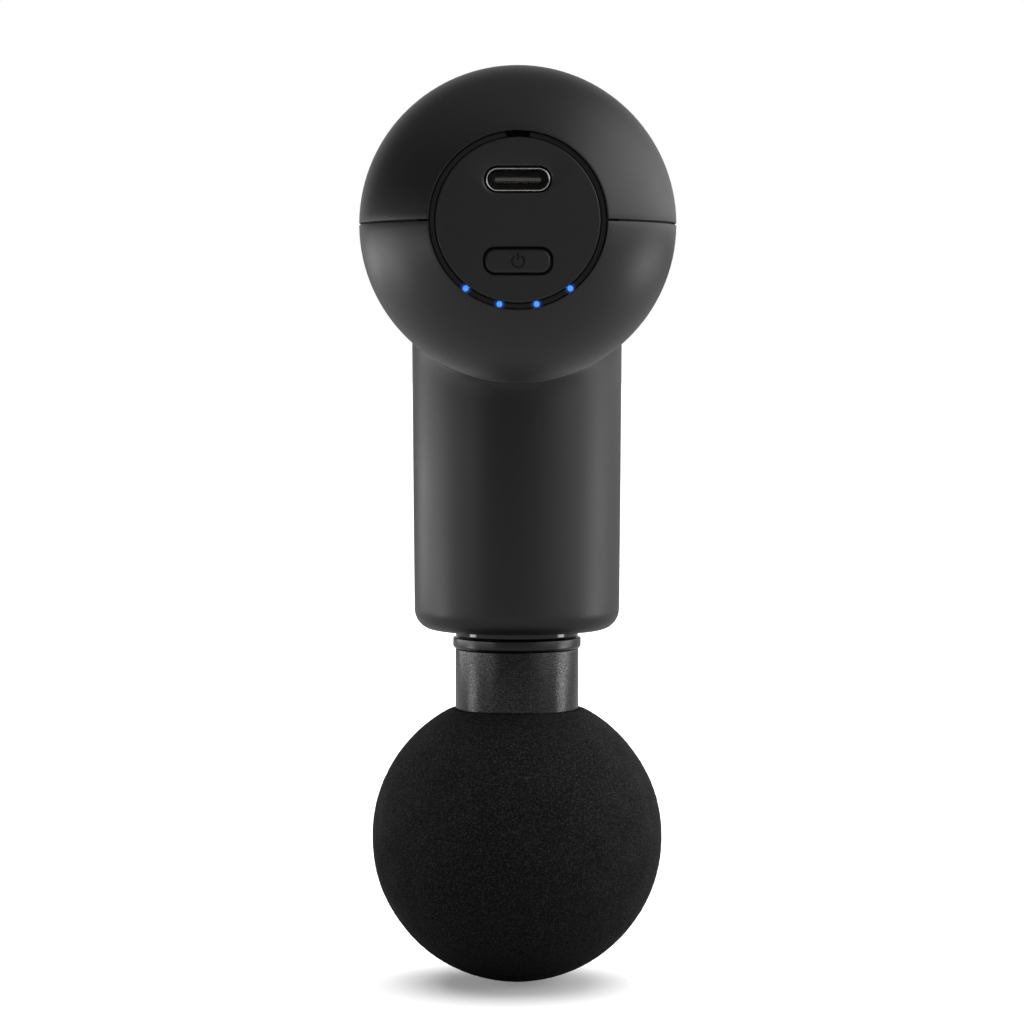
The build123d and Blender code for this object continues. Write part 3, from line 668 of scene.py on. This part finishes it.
def add_snout(verts, faces, loop, skin):
    """Carries one skin on from the patch's edge through the snout's rings."""
    previous = loop
    for ring in snout_rings([verts[i] for i in loop], skin):
        here = list(range(len(verts), len(verts) + len(ring)))
        verts += ring
        for a in range(len(here)):
            b = (a + 1) % len(here)
            faces.append((previous[a], previous[b], here[b], here[a]))
        previous = here


def half_casing(name, side, material):
    """A half shell as one closed mesh. The lower one has the snout."""
    outer = handle_profile(HANDLE_R, True)
    profile = outer + list(reversed(handle_profile(HANDLE_R - WALL, False)))
    rows, columns = len(profile), len(column_angles(HANDLE_R))
    verts = half_casing_grid(side, profile, len(outer))
    patches = {}
    if side < 0:
        for skin, first, last in (("outer", 0, len(outer)), ("inner", len(outer), rows)):
            close = [k for k in range(first, last) if in_patch(profile[k])]
            patches[skin] = (min(close), max(close))
    faces = []
    for k in range(rows):
        m = (k + 1) % rows
        for c in range(columns - 1):
            under = MIDDLE_FIRST <= c < MIDDLE_LAST
            if under and any(low <= k < high for low, high in patches.values()):
                continue
            faces.append((k * columns + c, k * columns + c + 1, m * columns + c + 1, m * columns + c))
    for c in (0, columns - 1):
        faces += split_cap(c, columns, profile, len(outer))
    for skin, (low, high) in patches.items():
        add_snout(verts, faces, patch_loop(low, high, columns), skin)
    return build(name, verts, faces, material, 50.0)


def in_patch(row):
    """Whether a row of the profile is on the handle's wall and crosses the snout's patch."""
    r, y = row[:2]
    return PATCH_FRONT_Y - 0.01 <= y <= PATCH_REAR_Y and r > HANDLE_R - WALL - 3.5


def split_cap(column, columns, profile, outer_count):
    """Closes the wall at the parting plane with a strip between the two skins."""
    faces = []
    a, b = 0, len(profile) - 1
    while a < outer_count - 1 or b > outer_count:
        forward = a < outer_count - 1
        back = b > outer_count
        if forward and (not back or profile[a + 1][1] <= profile[b - 1][1]):
            faces.append((a * columns + column, (a + 1) * columns + column, b * columns + column))
            a += 1
        else:
            faces.append((a * columns + column, b * columns + column, (b - 1) * columns + column))
            b -= 1
    return faces


def parting_lip(material):
    """The lower half's lip at the bottom of the parting gap, in a darker plastic that is painted shade."""
    parts = []
    outer, inner, low, high = 22.3, 20.95, -1.2, 0.9
    corners = ((outer, low), (outer, high), (inner, high), (inner, low))
    path = [row for row in handle_profile(HANDLE_R, False) if row[0] >= 14.0]
    for side in (-1, 1):
        verts, faces = [], []
        for r, y, nr, ny in path:
            for radius, z in corners:
                inset = HANDLE_R - radius
                flat = math.sqrt(max(0.01, (r - nr * inset) ** 2 - z * z))
                verts.append((side * flat, y - ny * inset, z))
        n = len(path)
        for i in range(n - 1):
            for k in range(4):
                m = (k + 1) % 4
                faces.append((i * 4 + k, i * 4 + m, i * 4 + 4 + m, i * 4 + 4 + k))
        faces.append((0, 1, 2, 3))
        faces.append(tuple((n - 1) * 4 + k for k in range(4)))
        parts.append((verts, faces))
    return join("parting_lip", parts, material)


def screw_plug_places():
    """Centre x and y of each plug, from the plugs' own vertices."""
    verts = [vertex.co for vertex in frame["nodes"]["screw_plugs"].data.vertices]
    points = [(co.x / MM, (co.y - HEAD_Y) / MM) for co in verts]
    return centres(points, lambda point: (point[0] > 0, point[1] > 0))


def plug_holes(material):
    """Cutters for the holes that the plugs close."""
    low, high = -30.0, -15.6
    hole = [(AXIS_R, low), (PLUG_HOLE_R, low), (PLUG_HOLE_R, high), (AXIS_R, high)]
    return [turned("plug_hole", hole, material, "Z", 40, point) for point in screw_plug_places()]


def screw_plugs(material):
    """Soft plugs that follow the shell's curve, with a rounded edge."""
    parts = []
    segments = 40
    rings = [(2.33, -1.0), (2.33, -0.14), (2.27, -0.05), (2.16, -0.01), (1.2, 0.0), (0.4, 0.0)]
    for px, py in screw_plug_places():
        verts, faces = [], []
        for r, lift in rings:
            for i in range(segments):
                a = 2 * math.pi * i / segments
                x, y = px + r * math.cos(a), py + r * math.sin(a)
                verts.append((x, y, handle_surface_z(x, y, HANDLE_R) - lift))
        for k in range(len(rings) - 1):
            here, above = k * segments, (k + 1) * segments
            for i in range(segments):
                j = (i + 1) % segments
                faces.append((here + i, here + j, above + j, above + i))
        faces.append(tuple(range(segments)))
        faces.append(tuple(range((len(rings) - 1) * segments, len(rings) * segments)))
        parts.append((verts, faces))
    return join("screw_plug_set", parts, material)


def vent_cap(material):
    """Cap of the far end, with five slots."""
    face = span("vent_cap")[1].y
    corners = [(CAP_BORE_R, face - 4.6, 0.1), (CAP_FLANGE_R, face - 4.6, 0.1)]
    corners += [(CAP_FLANGE_R, face - 3.7, 0.1), (CAP_R, face - 3.7, 0.05), (CAP_R, face, 0.45)]
    corners += [(AXIS_R, face, 0.0), (AXIS_R, face - 2.0, 0.0), (CAP_BORE_R, face - 2.0, 0.1)]
    cap = turned("vent_cap_shell", rounded(corners, 0.1, 5), material, "Y", 144)
    steps = [(-3.0, 0.0), (-0.28, 0.0), (0.02, 0.25), (0.5, 0.25)]
    cutters = []
    for i in range(-2, 3):
        z = VENT_PITCH * i
        reach = 2 * math.sqrt(VENT_REACH**2 - z**2)
        cutters.append(build(f"slot_{i}", *loft(oblong_stack(face, z, reach, VENT_WIDTH, steps)), material))
    return cut(cap, cutters)


# ---------------------------------------------------------------- end face


def pocket(z, width, height, flare, name, material, corner=None):
    """Cutter for a pocket through the end face, with an edge that flares softly."""
    edge = ((-0.5, 1.0), (-0.02, 1.0), (0.04, 0.6), (0.12, 0.28), (0.32, 0.0), (3.0, 0.0))
    steps = [(depth, flare * grow) for depth, grow in edge]
    return build(name, *loft(oblong_stack(DISC_FACE_Y, z, width, height, steps, 16, corner)), material)


def end_disc(material):
    """End face with the pockets of the port and the key."""
    back = span("end_disc")[1].y
    corners = [(AXIS_R, DISC_FACE_Y, 0.0), (DISC_R, DISC_FACE_Y, 0.32)]
    corners += [(DISC_R, back, 0.1), (AXIS_R, back, 0.0)]
    disc = turned("end_face", rounded(corners, 0.1, 6), material, "Y", 192)
    usb_z, key_z = middle("usb_shell").z, middle("power_button").z
    corner = BUTTON_CORNER + (BUTTON_POCKET_H - BUTTON_H) / 2
    usb = pocket(usb_z, USB_POCKET_W, USB_POCKET_H, 0.42, "usb_pocket", material)
    button = pocket(key_z, BUTTON_POCKET_W, BUTTON_POCKET_H, 0.14, "button_pocket", material, corner)
    return cut(disc, [usb, button])


def light_places():
    """x and z of each charge light, from the light pipes' own vertices."""
    verts = [vertex.co / MM for vertex in frame["nodes"]["light_pipes"].data.vertices]
    return centres([(co.x, co.z) for co in verts], lambda point: round(point[0] / LIGHT_GAP))


def light_ring(material):
    """Smoked ring round the end face, broken at the top by a notch."""
    back = span("light_ring")[1].y
    corners = [(LIGHT_RING_IN, RING_FACE_Y), (LIGHT_RING_OUT, RING_FACE_Y)]
    corners += [(LIGHT_RING_OUT, back), (LIGHT_RING_IN, back)]
    ring = turned("smoked_light_ring", rounded(corners, 0.12, 3), material, "Y", 192)
    notch = [(-1.5, 11.2), (1.5, 11.2), (1.9, 12.6), (-1.9, 12.6)]
    wedge = build("notch", *loft([(RING_FACE_Y - 0.5, notch), (back + 0.5, notch)]), material)
    return cut(ring, [wedge])


def light_dots(material):
    """Domed ends of the light pipes."""
    parts = []
    back = span("light_pipes")[1].y
    for x, z in light_places():
        crown = RING_FACE_Y - 0.16
        profile = [(AXIS_R, back), (LIGHT_DOT_R - 0.06, back), (LIGHT_DOT_R, RING_FACE_Y + 0.1)]
        profile += bend((LIGHT_DOT_R, RING_FACE_Y - 0.02), (LIGHT_DOT_R, crown), (AXIS_R, crown), 6)
        parts.append(revolve(profile, "Y", 32, (x, z)))
    return join("light_pipe_ends", parts, material, 60.0)


def usb_shell(material):
    """Drawn metal shell of the port, with a rolled lip."""
    low = span("usb_shell")[0]
    outside = [(0.0, -0.1), (0.03, -0.04), (0.1, 0.0), (7.9, 0.0)]
    inside = [(7.2, -0.3), (0.3, -0.3), (0.12, -0.22), (0.02, -0.15), (0.0, -0.12)]
    outlines = oblong_stack(low.y, middle("usb_shell").z, USB_W, USB_H, outside + inside, 20)
    return build("usb_port_shell", *loft(outlines, closed=True), material, 40.0)


def plate(reach, rise, z, radius):
    """Outline of a flat bar with rounded corners, from its half width and half height."""
    corners = [(-reach, z - rise), (reach, z - rise), (reach, z + rise), (-reach, z + rise)]
    return rounded(corners, radius, 3)


def usb_tongue(plastic, gold):
    """Tongue, its row of contacts on each face, and the wall behind it."""
    low, high = span("usb_tongue")
    z = middle("usb_tongue").z
    rise = 0.35
    slab, tip = plate(high.x, rise, z, 0.14), plate(high.x - 0.2, 0.2, z, 0.1)
    tongue = build("usb_port_tongue", *loft([(low.y, tip), (low.y + 0.7, slab), (high.y, slab)]), plastic)
    contacts = []
    for i in range(12):
        x = 0.5 * (i - 5.5)
        for side in (-1, 1):
            base, top = z + side * rise, z + side * 0.39
            outline = [(x - 0.13, base), (x + 0.13, base), (x + 0.11, top), (x - 0.11, top)]
            contacts.append(loft([(low.y + 1.0, outline), (low.y + 5.0, outline)]))
    back_wall = oblong_stack(high.y, z, USB_W, USB_H, [(-1.2, -0.31), (-0.1, -0.31)], 20)
    rear = build("usb_port_back", *loft(back_wall), plastic)
    return tongue, join("usb_port_contacts", contacts, gold), rear


def power_button(material, engraving_shade):
    """Crowned key with a power symbol let into it and its flange behind the face, and a dark sheet of painted
    shade on the symbol's floor.
    """
    low = span("power_button")[0]
    z = middle("power_button").z
    steps = [(0.0, -0.55), (0.02, -0.34), (0.08, -0.17), (0.18, -0.06), (0.34, 0.0)]
    steps += [(2.4, 0.0), (2.42, 1.0), (3.0, 1.0)]
    outlines = oblong_stack(low.y, z, BUTTON_W, BUTTON_H, steps, 20, BUTTON_CORNER)
    key = build("power_key", *loft(outlines), material, 40.0)
    ring = arc((0, 0), 0.98, 122, 418, 36)
    inner = arc((0, 0), 0.72, 418, 122, 36)
    outline = lifted(ring + inner, z)
    bar = lifted([(-0.13, 0.2), (0.13, 0.2), (0.13, 1.16), (-0.13, 1.16)], z)
    depth = (low.y - 0.3, low.y + 0.2)
    cutters = [build("mark_ring", *loft([(y, outline) for y in depth]), material)]
    cutters.append(build("mark_bar", *loft([(y, bar) for y in depth]), material))
    # A thin sheet of the darker plastic on the floor of the engraved symbol is painted shade.
    shade_inlay = [loft([(low.y + 0.17, shape), (low.y + 0.25, shape)]) for shape in (outline, bar)]
    return cut(key, cutters), join("power_mark_shade", shade_inlay, engraving_shade)


# ---------------------------------------------------------------- nose and head


def plunger_tube(material):
    """Skin of the tube. It stands SKIN clear of the CAD plunger, which stays for its inner end."""
    low, high = span("plunger")
    outer, inner, roof, foot = PLUNGER_R + SKIN, SOCKET_R - SKIN, SOCKET_TOP_Z - SKIN, low.z - SKIN
    corners = [(inner, foot, 0.15), (outer, foot, 0.3), (outer, high.z, 0.3)]
    corners += [(PLUNGER_TOP_R, high.z, 0.2), (PLUNGER_TOP_R, roof, 0.2), (inner, roof, 0.2)]
    return turned("plunger_tube", rounded(corners, 0.2, 4), material, segments=256)


def nose_seal(material):
    """Seal in the nose opening, whose lip wipes the tube."""
    low, high = span("nose_seal")
    corners = [(10.6, low.z + 0.25, 0.1), (11.0, low.z, 0.15), (NOSE_OPENING_R, low.z, 0.1)]
    corners += [(NOSE_OPENING_R, high.z, 0.1), (11.2, high.z, 0.1)]
    return turned("nose_wiper_seal", rounded(corners, 0.1, 4), material, segments=256)


def damping_ring(material):
    """Satin ring above the collar, bevelled at its foot."""
    low, high = span("damping_ring")
    corners = [(RING_BORE_R, low.z, 0.1), (RING_R - 0.3, low.z, 0.08), (RING_R, low.z + 0.36, 0.12)]
    corners += [(RING_R, high.z, 0.16), (RING_BORE_R, high.z, 0.1)]
    return turned("head_damping_ring", rounded(corners, 0.1, 5), material, segments=160)


def head_collar(material):
    low, high = span("head_collar")
    bore = STEM_CORE_R + SKIN
    corners = [(bore, low.z, 0.1), (COLLAR_R, low.z, 0.15), (COLLAR_R, high.z, 0.2), (bore, high.z, 0.1)]
    return turned("head_collar_tube", rounded(corners, 0.1, 5), material, segments=160)


def head_stem(material):
    """Stem with its two O-ring grooves and a lead-in at the top."""
    low, high = span("head_stem")
    foot = span("damping_ring")[0].z - SKIN
    profile = [(AXIS_R, low.z), (STEM_CORE_R, low.z), (STEM_CORE_R, foot), (STEM_R, foot)]
    for z in o_ring_heights():
        profile += [(STEM_R, z - 0.95), (STEM_GROOVE_R, z - 0.9)]
        profile += [(STEM_GROOVE_R, z + 0.9), (STEM_R, z + 0.95)]
    profile += [(STEM_R, high.z - 0.8), (STEM_TIP_R, high.z), (AXIS_R, high.z)]
    return turned("head_plug_stem", profile, material, segments=96, smooth_angle=25.0)


def o_ring_heights():
    low, high = span("head_o_rings")
    return low.z + O_RING_SECTION_R, high.z - O_RING_SECTION_R


def o_rings(material):
    sections = [arc((O_RING_R, z), O_RING_SECTION_R, 0, 345, 23) for z in o_ring_heights()]
    parts = [revolve(section, "Z", 96) for section in sections]
    return join("head_o_ring_pair", parts, material, 60.0)


def foam_ball(material):
    """Moulded foam ball, slightly uneven, with a pinched top round the collar and a grained skin."""
    low, high = span("foam_ball")
    centre_z = low.z + BALL_R - BALL_DROP
    flat_z = high.z - BALL_FLAT
    bm = bmesh.new()
    bmesh.ops.create_icosphere(bm, subdivisions=7, radius=BALL_R + 0.1)
    for vertex in bm.verts:
        co = vertex.co
        direction = co.normalized()
        swell = 0.10 * noise.noise(direction * 2.3)
        pores = 0.045 * noise.noise(direction * 46.0) + 0.03 * noise.noise(direction * 95.0)
        vertex.co = co + direction * (swell + pores)
        z = vertex.co.z + centre_z
        r = math.hypot(vertex.co.x, vertex.co.y)
        if z > flat_z:
            z = flat_z + BALL_FLAT * math.tanh(min(1.0, (z - flat_z) / BALL_FLAT))
        if r < PINCH_R and vertex.co.z > 0:
            inward = PINCH_R - r
            z -= PINCH_DEPTH * inward / PINCH_R + DENT_DEPTH * min(1.0, inward / DENT_EDGE)
        vertex.co.z = z - centre_z
    mesh = bpy.data.meshes.new("foam_head_ball")
    bm.to_mesh(mesh)
    bm.free()
    mesh.transform(Matrix.Scale(MM, 4))
    mesh.transform(Matrix.Translation((0, HEAD_Y, centre_z * MM)))
    mesh.polygons.foreach_set("use_smooth", [True] * len(mesh.polygons))
    mesh.materials.append(material)
    obj = bpy.data.objects.new("foam_head_ball", mesh)
    bpy.context.scene.collection.objects.link(obj)
    return obj


# ---------------------------------------------------------------- scene


def make_camera():
    data = bpy.data.cameras.new("camera")
    data.lens = CAMERA_LENS
    data.sensor_width = 36.0
    camera = bpy.data.objects.new("camera", data)
    camera.location = (CAMERA_X * MM, HEAD_Y - CAMERA_BACK * MM, CAMERA_Z * MM)
    camera.rotation_euler = (math.radians(90 - CAMERA_PITCH), 0, 0)
    bpy.context.scene.collection.objects.link(camera)
    bpy.context.scene.camera = camera


def make_floor():
    """Ground that the camera sees white but for the shade near the object."""
    mesh = bpy.data.meshes.new("floor")
    sides = ((-1, -1), (1, -1), (1, 1), (-1, 1))
    corners = [(x * FLOOR_SIZE, y * FLOOR_SIZE, FLOOR_Z) for x, y in sides]
    mesh.from_pydata(corners, [], [(0, 1, 2, 3)])
    floor = bpy.data.objects.new("floor", mesh)
    bpy.context.scene.collection.objects.link(floor)
    material, nodes, links, shader, coords = new_material("pale_floor")
    seen = nodes.new("ShaderNodeLightPath").outputs["Is Camera Ray"]
    links.new(blended(nodes, links, seen, (0.3, 0.3, 0.3), (0.93, 0.93, 0.93)), shader.inputs["Base Color"])
    shader.inputs["Roughness"].default_value = 0.9
    shader.inputs["Specular IOR Level"].default_value = 0.0
    away = measured(nodes, links, "DISTANCE", coords, (0, HEAD_Y, FLOOR_Z))
    far = ranged(nodes, links, away, FLOOR_GLOW, 1.0, 0.3, 1.0)
    links.new(calculated(nodes, links, "MULTIPLY", far, seen), shader.inputs["Emission Strength"])
    shader.inputs["Emission Color"].default_value = (1, 1, 1, 1)
    mesh.materials.append(material)


def soft_light(name, place_mm, aim_mm, size, power, reflected=True):
    """A rectangular lamp. Its place and aim are in the working millimetres, its size in metres."""
    data = bpy.data.lights.new(name, "AREA")
    data.shape = "RECTANGLE"
    data.size, data.size_y = size
    data.energy = power
    lamp = bpy.data.objects.new(name, data)
    lamp.visible_glossy = reflected
    shift = Vector((0, HEAD_Y, 0))
    at = Vector(place_mm) * MM + shift
    lamp.location = at
    lamp.rotation_mode = "QUATERNION"
    lamp.rotation_quaternion = (Vector(aim_mm) * MM + shift - at).to_track_quat("-Z", "Y")
    bpy.context.scene.collection.objects.link(lamp)


def make_world():
    """White behind the object for the camera. The object itself sees a dim room with a few soft lobes."""
    world = bpy.data.worlds.new("studio")
    bpy.context.scene.world = world
    world.use_nodes = True
    nodes, links = world.node_tree.nodes, world.node_tree.links
    back = nodes["Background"]
    coords = nodes.new("ShaderNodeTexCoord").outputs["Generated"]
    total = WORLD_DIM
    for direction, low, high, strength in WORLD_LOBES:
        cosine = measured(nodes, links, "DOT_PRODUCT", coords, Vector(direction).normalized())
        lobe = ranged(nodes, links, cosine, 0.0, strength, low, high, "SMOOTHSTEP")
        total = calculated(nodes, links, "ADD", total, lobe)
    seen = nodes.new("ShaderNodeLightPath").outputs["Is Camera Ray"]
    mix = nodes.new("ShaderNodeMix")
    mix.data_type = "FLOAT"
    links.new(seen, mix.inputs["Factor"])
    links.new(total, mix.inputs["A"])
    mix.inputs["B"].default_value = 1.0
    links.new(mix.outputs["Result"], back.inputs["Strength"])
    back.inputs["Color"].default_value = (1, 1, 1, 1)


def make_lights():
    soft_light("left_strip", (-300, 105, -54), (0, 0, -54), (0.3, 0.06), 0.175)
    soft_light("left_front", (-285, -145, -54), (0, 0, -54), (0.26, 0.05), 0.085)
    soft_light("left_glint", (-317, 5, -122), (0, 0, -75), (0.085, 0.035), 0.085)
    soft_light("right_glint", (317, 5, -122), (0, 0, -75), (0.085, 0.035), 0.1)
    soft_light("right_strip", (300, 50, -70), (0, 0, -62), (0.14, 0.05), 0.055)
    soft_light("upper_right", (320, -540, 260), (0, -60, 0), (0.22, 0.22), 0.13)
    soft_light("ceiling", (0, 100, 900), (0, 0, -60), (1.6, 1.6), 27.0, False)


# ---------------------------------------------------------------- assembly


def inner_materials():
    """Materials of the pieces inside, by the record's slot."""
    return {
        "shell_plastic": moulded("inner_shell", (0.02, 0.02, 0.021), 0.5),
        "disc_plastic": moulded("inner_key", (0.02, 0.02, 0.021), 0.45),
        "plug_rubber": moulded("black_rubber", (0.01, 0.01, 0.01), 0.72, 1500.0, 0.00004, 0.4),
        "smoked_plastic": moulded("smoke_plastic", (0.01, 0.01, 0.012), 0.25),
        "light_glow": light_material(),
        "inner_plastic": moulded("grey_nylon", (0.05, 0.05, 0.052), 0.55, 1800.0, 0.00003, 0.4),
        "board": striped("circuit_board", (0.012, 0.09, 0.045), (0.02, 0.16, 0.08), "X", 260.0, 0.35),
        "plated_steel": brushed("plated_steel", (0.62, 0.62, 0.6), 0.32),
        "bearing_steel": brushed("ground_steel", (0.72, 0.72, 0.74), 0.18, (900.0, 60.0, 900.0)),
        "cell_wrap": striped("cell_wrap", (0.05, 0.22, 0.4), (0.07, 0.27, 0.46), "Y", 30.0, 0.3),
        "cast_aluminium": moulded(
            "cast_aluminium", (0.56, 0.56, 0.58), 0.48, 1400.0, 0.00006, 0.5, 0.06, 1.0
        ),
        "core_steel": striped(
            "laminated_steel", (0.16, 0.16, 0.17), (0.26, 0.26, 0.27), "Y", 900.0, 0.42, 1.0
        ),
        "copper": striped("enamelled_copper", (0.5, 0.17, 0.07), (0.78, 0.34, 0.16), "X", 700.0, 0.3, 1.0),
        "bush_brass": brushed("sintered_bronze", (0.62, 0.42, 0.2), 0.4),
        "bush_plastic": moulded("acetal", (0.72, 0.7, 0.65), 0.38),
        "plunger_metal": brushed("anodised_black", (0.05, 0.05, 0.053), 0.3),
        # The stem's lighter spots are painted glints.
        "head_plastic": sparkled("head_nylon", (0.02, 0.02, 0.021), (0.1, 0.1, 0.1), 0.45),
        "ring_rubber": moulded("ring_rubber", (0.02, 0.02, 0.021), 0.4),
        "foam": moulded("foam_core", (0.02, 0.02, 0.02), 0.9),
    }


def dress_cad_nodes(materials):
    """Gives each CAD node the material of its slot and smooth shading with sharp edges."""
    slots = {row["node"]: row["material_slot"] for row in frame["record"]["subparts"]}
    for name, obj in frame["nodes"].items():
        obj.data.materials.clear()
        obj.data.materials.append(materials[slots[name]])
        obj.data.polygons.foreach_set("use_smooth", [True] * len(obj.data.polygons))
        obj.data.set_sharp_from_angle(angle=math.radians(32))


def make_object():
    materials = inner_materials()
    dress_cad_nodes(materials)
    shell = moulded("soft_touch_shell", (0.0085, 0.0085, 0.0088), 0.42, 2400.0, 0.00001, 0.15, 0.03)
    face = moulded("face_plastic", (0.012, 0.012, 0.0125), 0.4, 2600.0, 0.00001, 0.2, 0.03)
    # Darker plastic that is painted shade, for the bottom of the parting gap and the floor of the engraved symbol.
    painted_shade = moulded("painted_shade_plastic", (0.004, 0.004, 0.004), 0.7)
    ring = moulded("satin_ring", (0.0045, 0.0045, 0.0048), 0.26, 2200.0, 0.000006, 0.15)
    tube = moulded("gloss_tube", (0.002, 0.002, 0.0022), 0.12, 1500.0, 0.000002, 0.08)
    chrome = brushed("port_nickel", (0.75, 0.75, 0.73), 0.22, (400.0, 60.0, 400.0))
    gold = brushed("contact_gold", (0.8, 0.58, 0.25), 0.25)
    tongue_plastic = moulded("tongue_plastic", (0.09, 0.09, 0.09), 0.45)
    lights = [Vector((x * MM, RING_FACE_Y * MM + HEAD_Y, z * MM)) for x, z in light_places()]

    upper = half_casing("upper_casing", 1, shell)
    place(upper, "housing", "upper_shell", slot="shell_plastic")
    lower = cut(half_casing("lower_casing", -1, shell), plug_holes(shell))
    place(lower, "housing", "lower_shell", slot="shell_plastic")
    # The lip's darker plastic is painted shade.
    place(parting_lip(painted_shade), "housing", slot="shell_plastic")
    place(screw_plugs(materials["plug_rubber"]), "housing", "screw_plugs", slot="plug_rubber")
    place(vent_cap(face), "housing", "vent_cap", slot="shell_plastic")

    place(end_disc(face), "housing", "end_disc", slot="disc_plastic")
    # The ring's glow round the dots is painted.
    place(light_ring(smoked_ring_with_painted_glow(lights)), "housing", "light_ring", slot="smoked_plastic")
    place(light_dots(materials["light_glow"]), "housing", "light_pipes", slot="light_glow")
    place(usb_shell(chrome), "housing", "usb_shell", slot="plated_steel")
    tongue, contacts, rear = usb_tongue(tongue_plastic, gold)
    place(tongue, "housing", "usb_tongue", slot="inner_plastic")
    place(contacts, "housing", slot="plated_steel")
    place(rear, "housing", slot="inner_plastic")
    # The power mark is a dark sheet of painted shade in the engraving.
    key, engraving_shade = power_button(face, painted_shade)
    place(key, "button", "power_button", slot="disc_plastic")
    place(engraving_shade, "button", slot="disc_plastic")

    place(plunger_tube(tube), "plunger", slot="plunger_metal")
    place(nose_seal(materials["plug_rubber"]), "housing", "nose_seal", slot="plug_rubber")
    place(damping_ring(ring), "head", "damping_ring", slot="ring_rubber")
    # The collar's lighter spots are painted glints.
    collar = sparkled("collar_nylon", (0.0025, 0.0025, 0.0027), (0.012, 0.012, 0.012), 0.2)
    place(head_collar(collar), "head", "head_collar", slot="head_plastic")
    place(head_stem(materials["head_plastic"]), "head", "head_stem", slot="head_plastic")
    place(o_rings(materials["plug_rubber"]), "head", "head_o_rings", slot="plug_rubber")
    ball = foam_ball(foam_material())
    place(ball, "head", "foam_ball", slot="foam")


bpy.context.scene.view_settings.view_transform = "Standard"
make_camera()
make_world()
make_floor()
make_lights()
make_object()
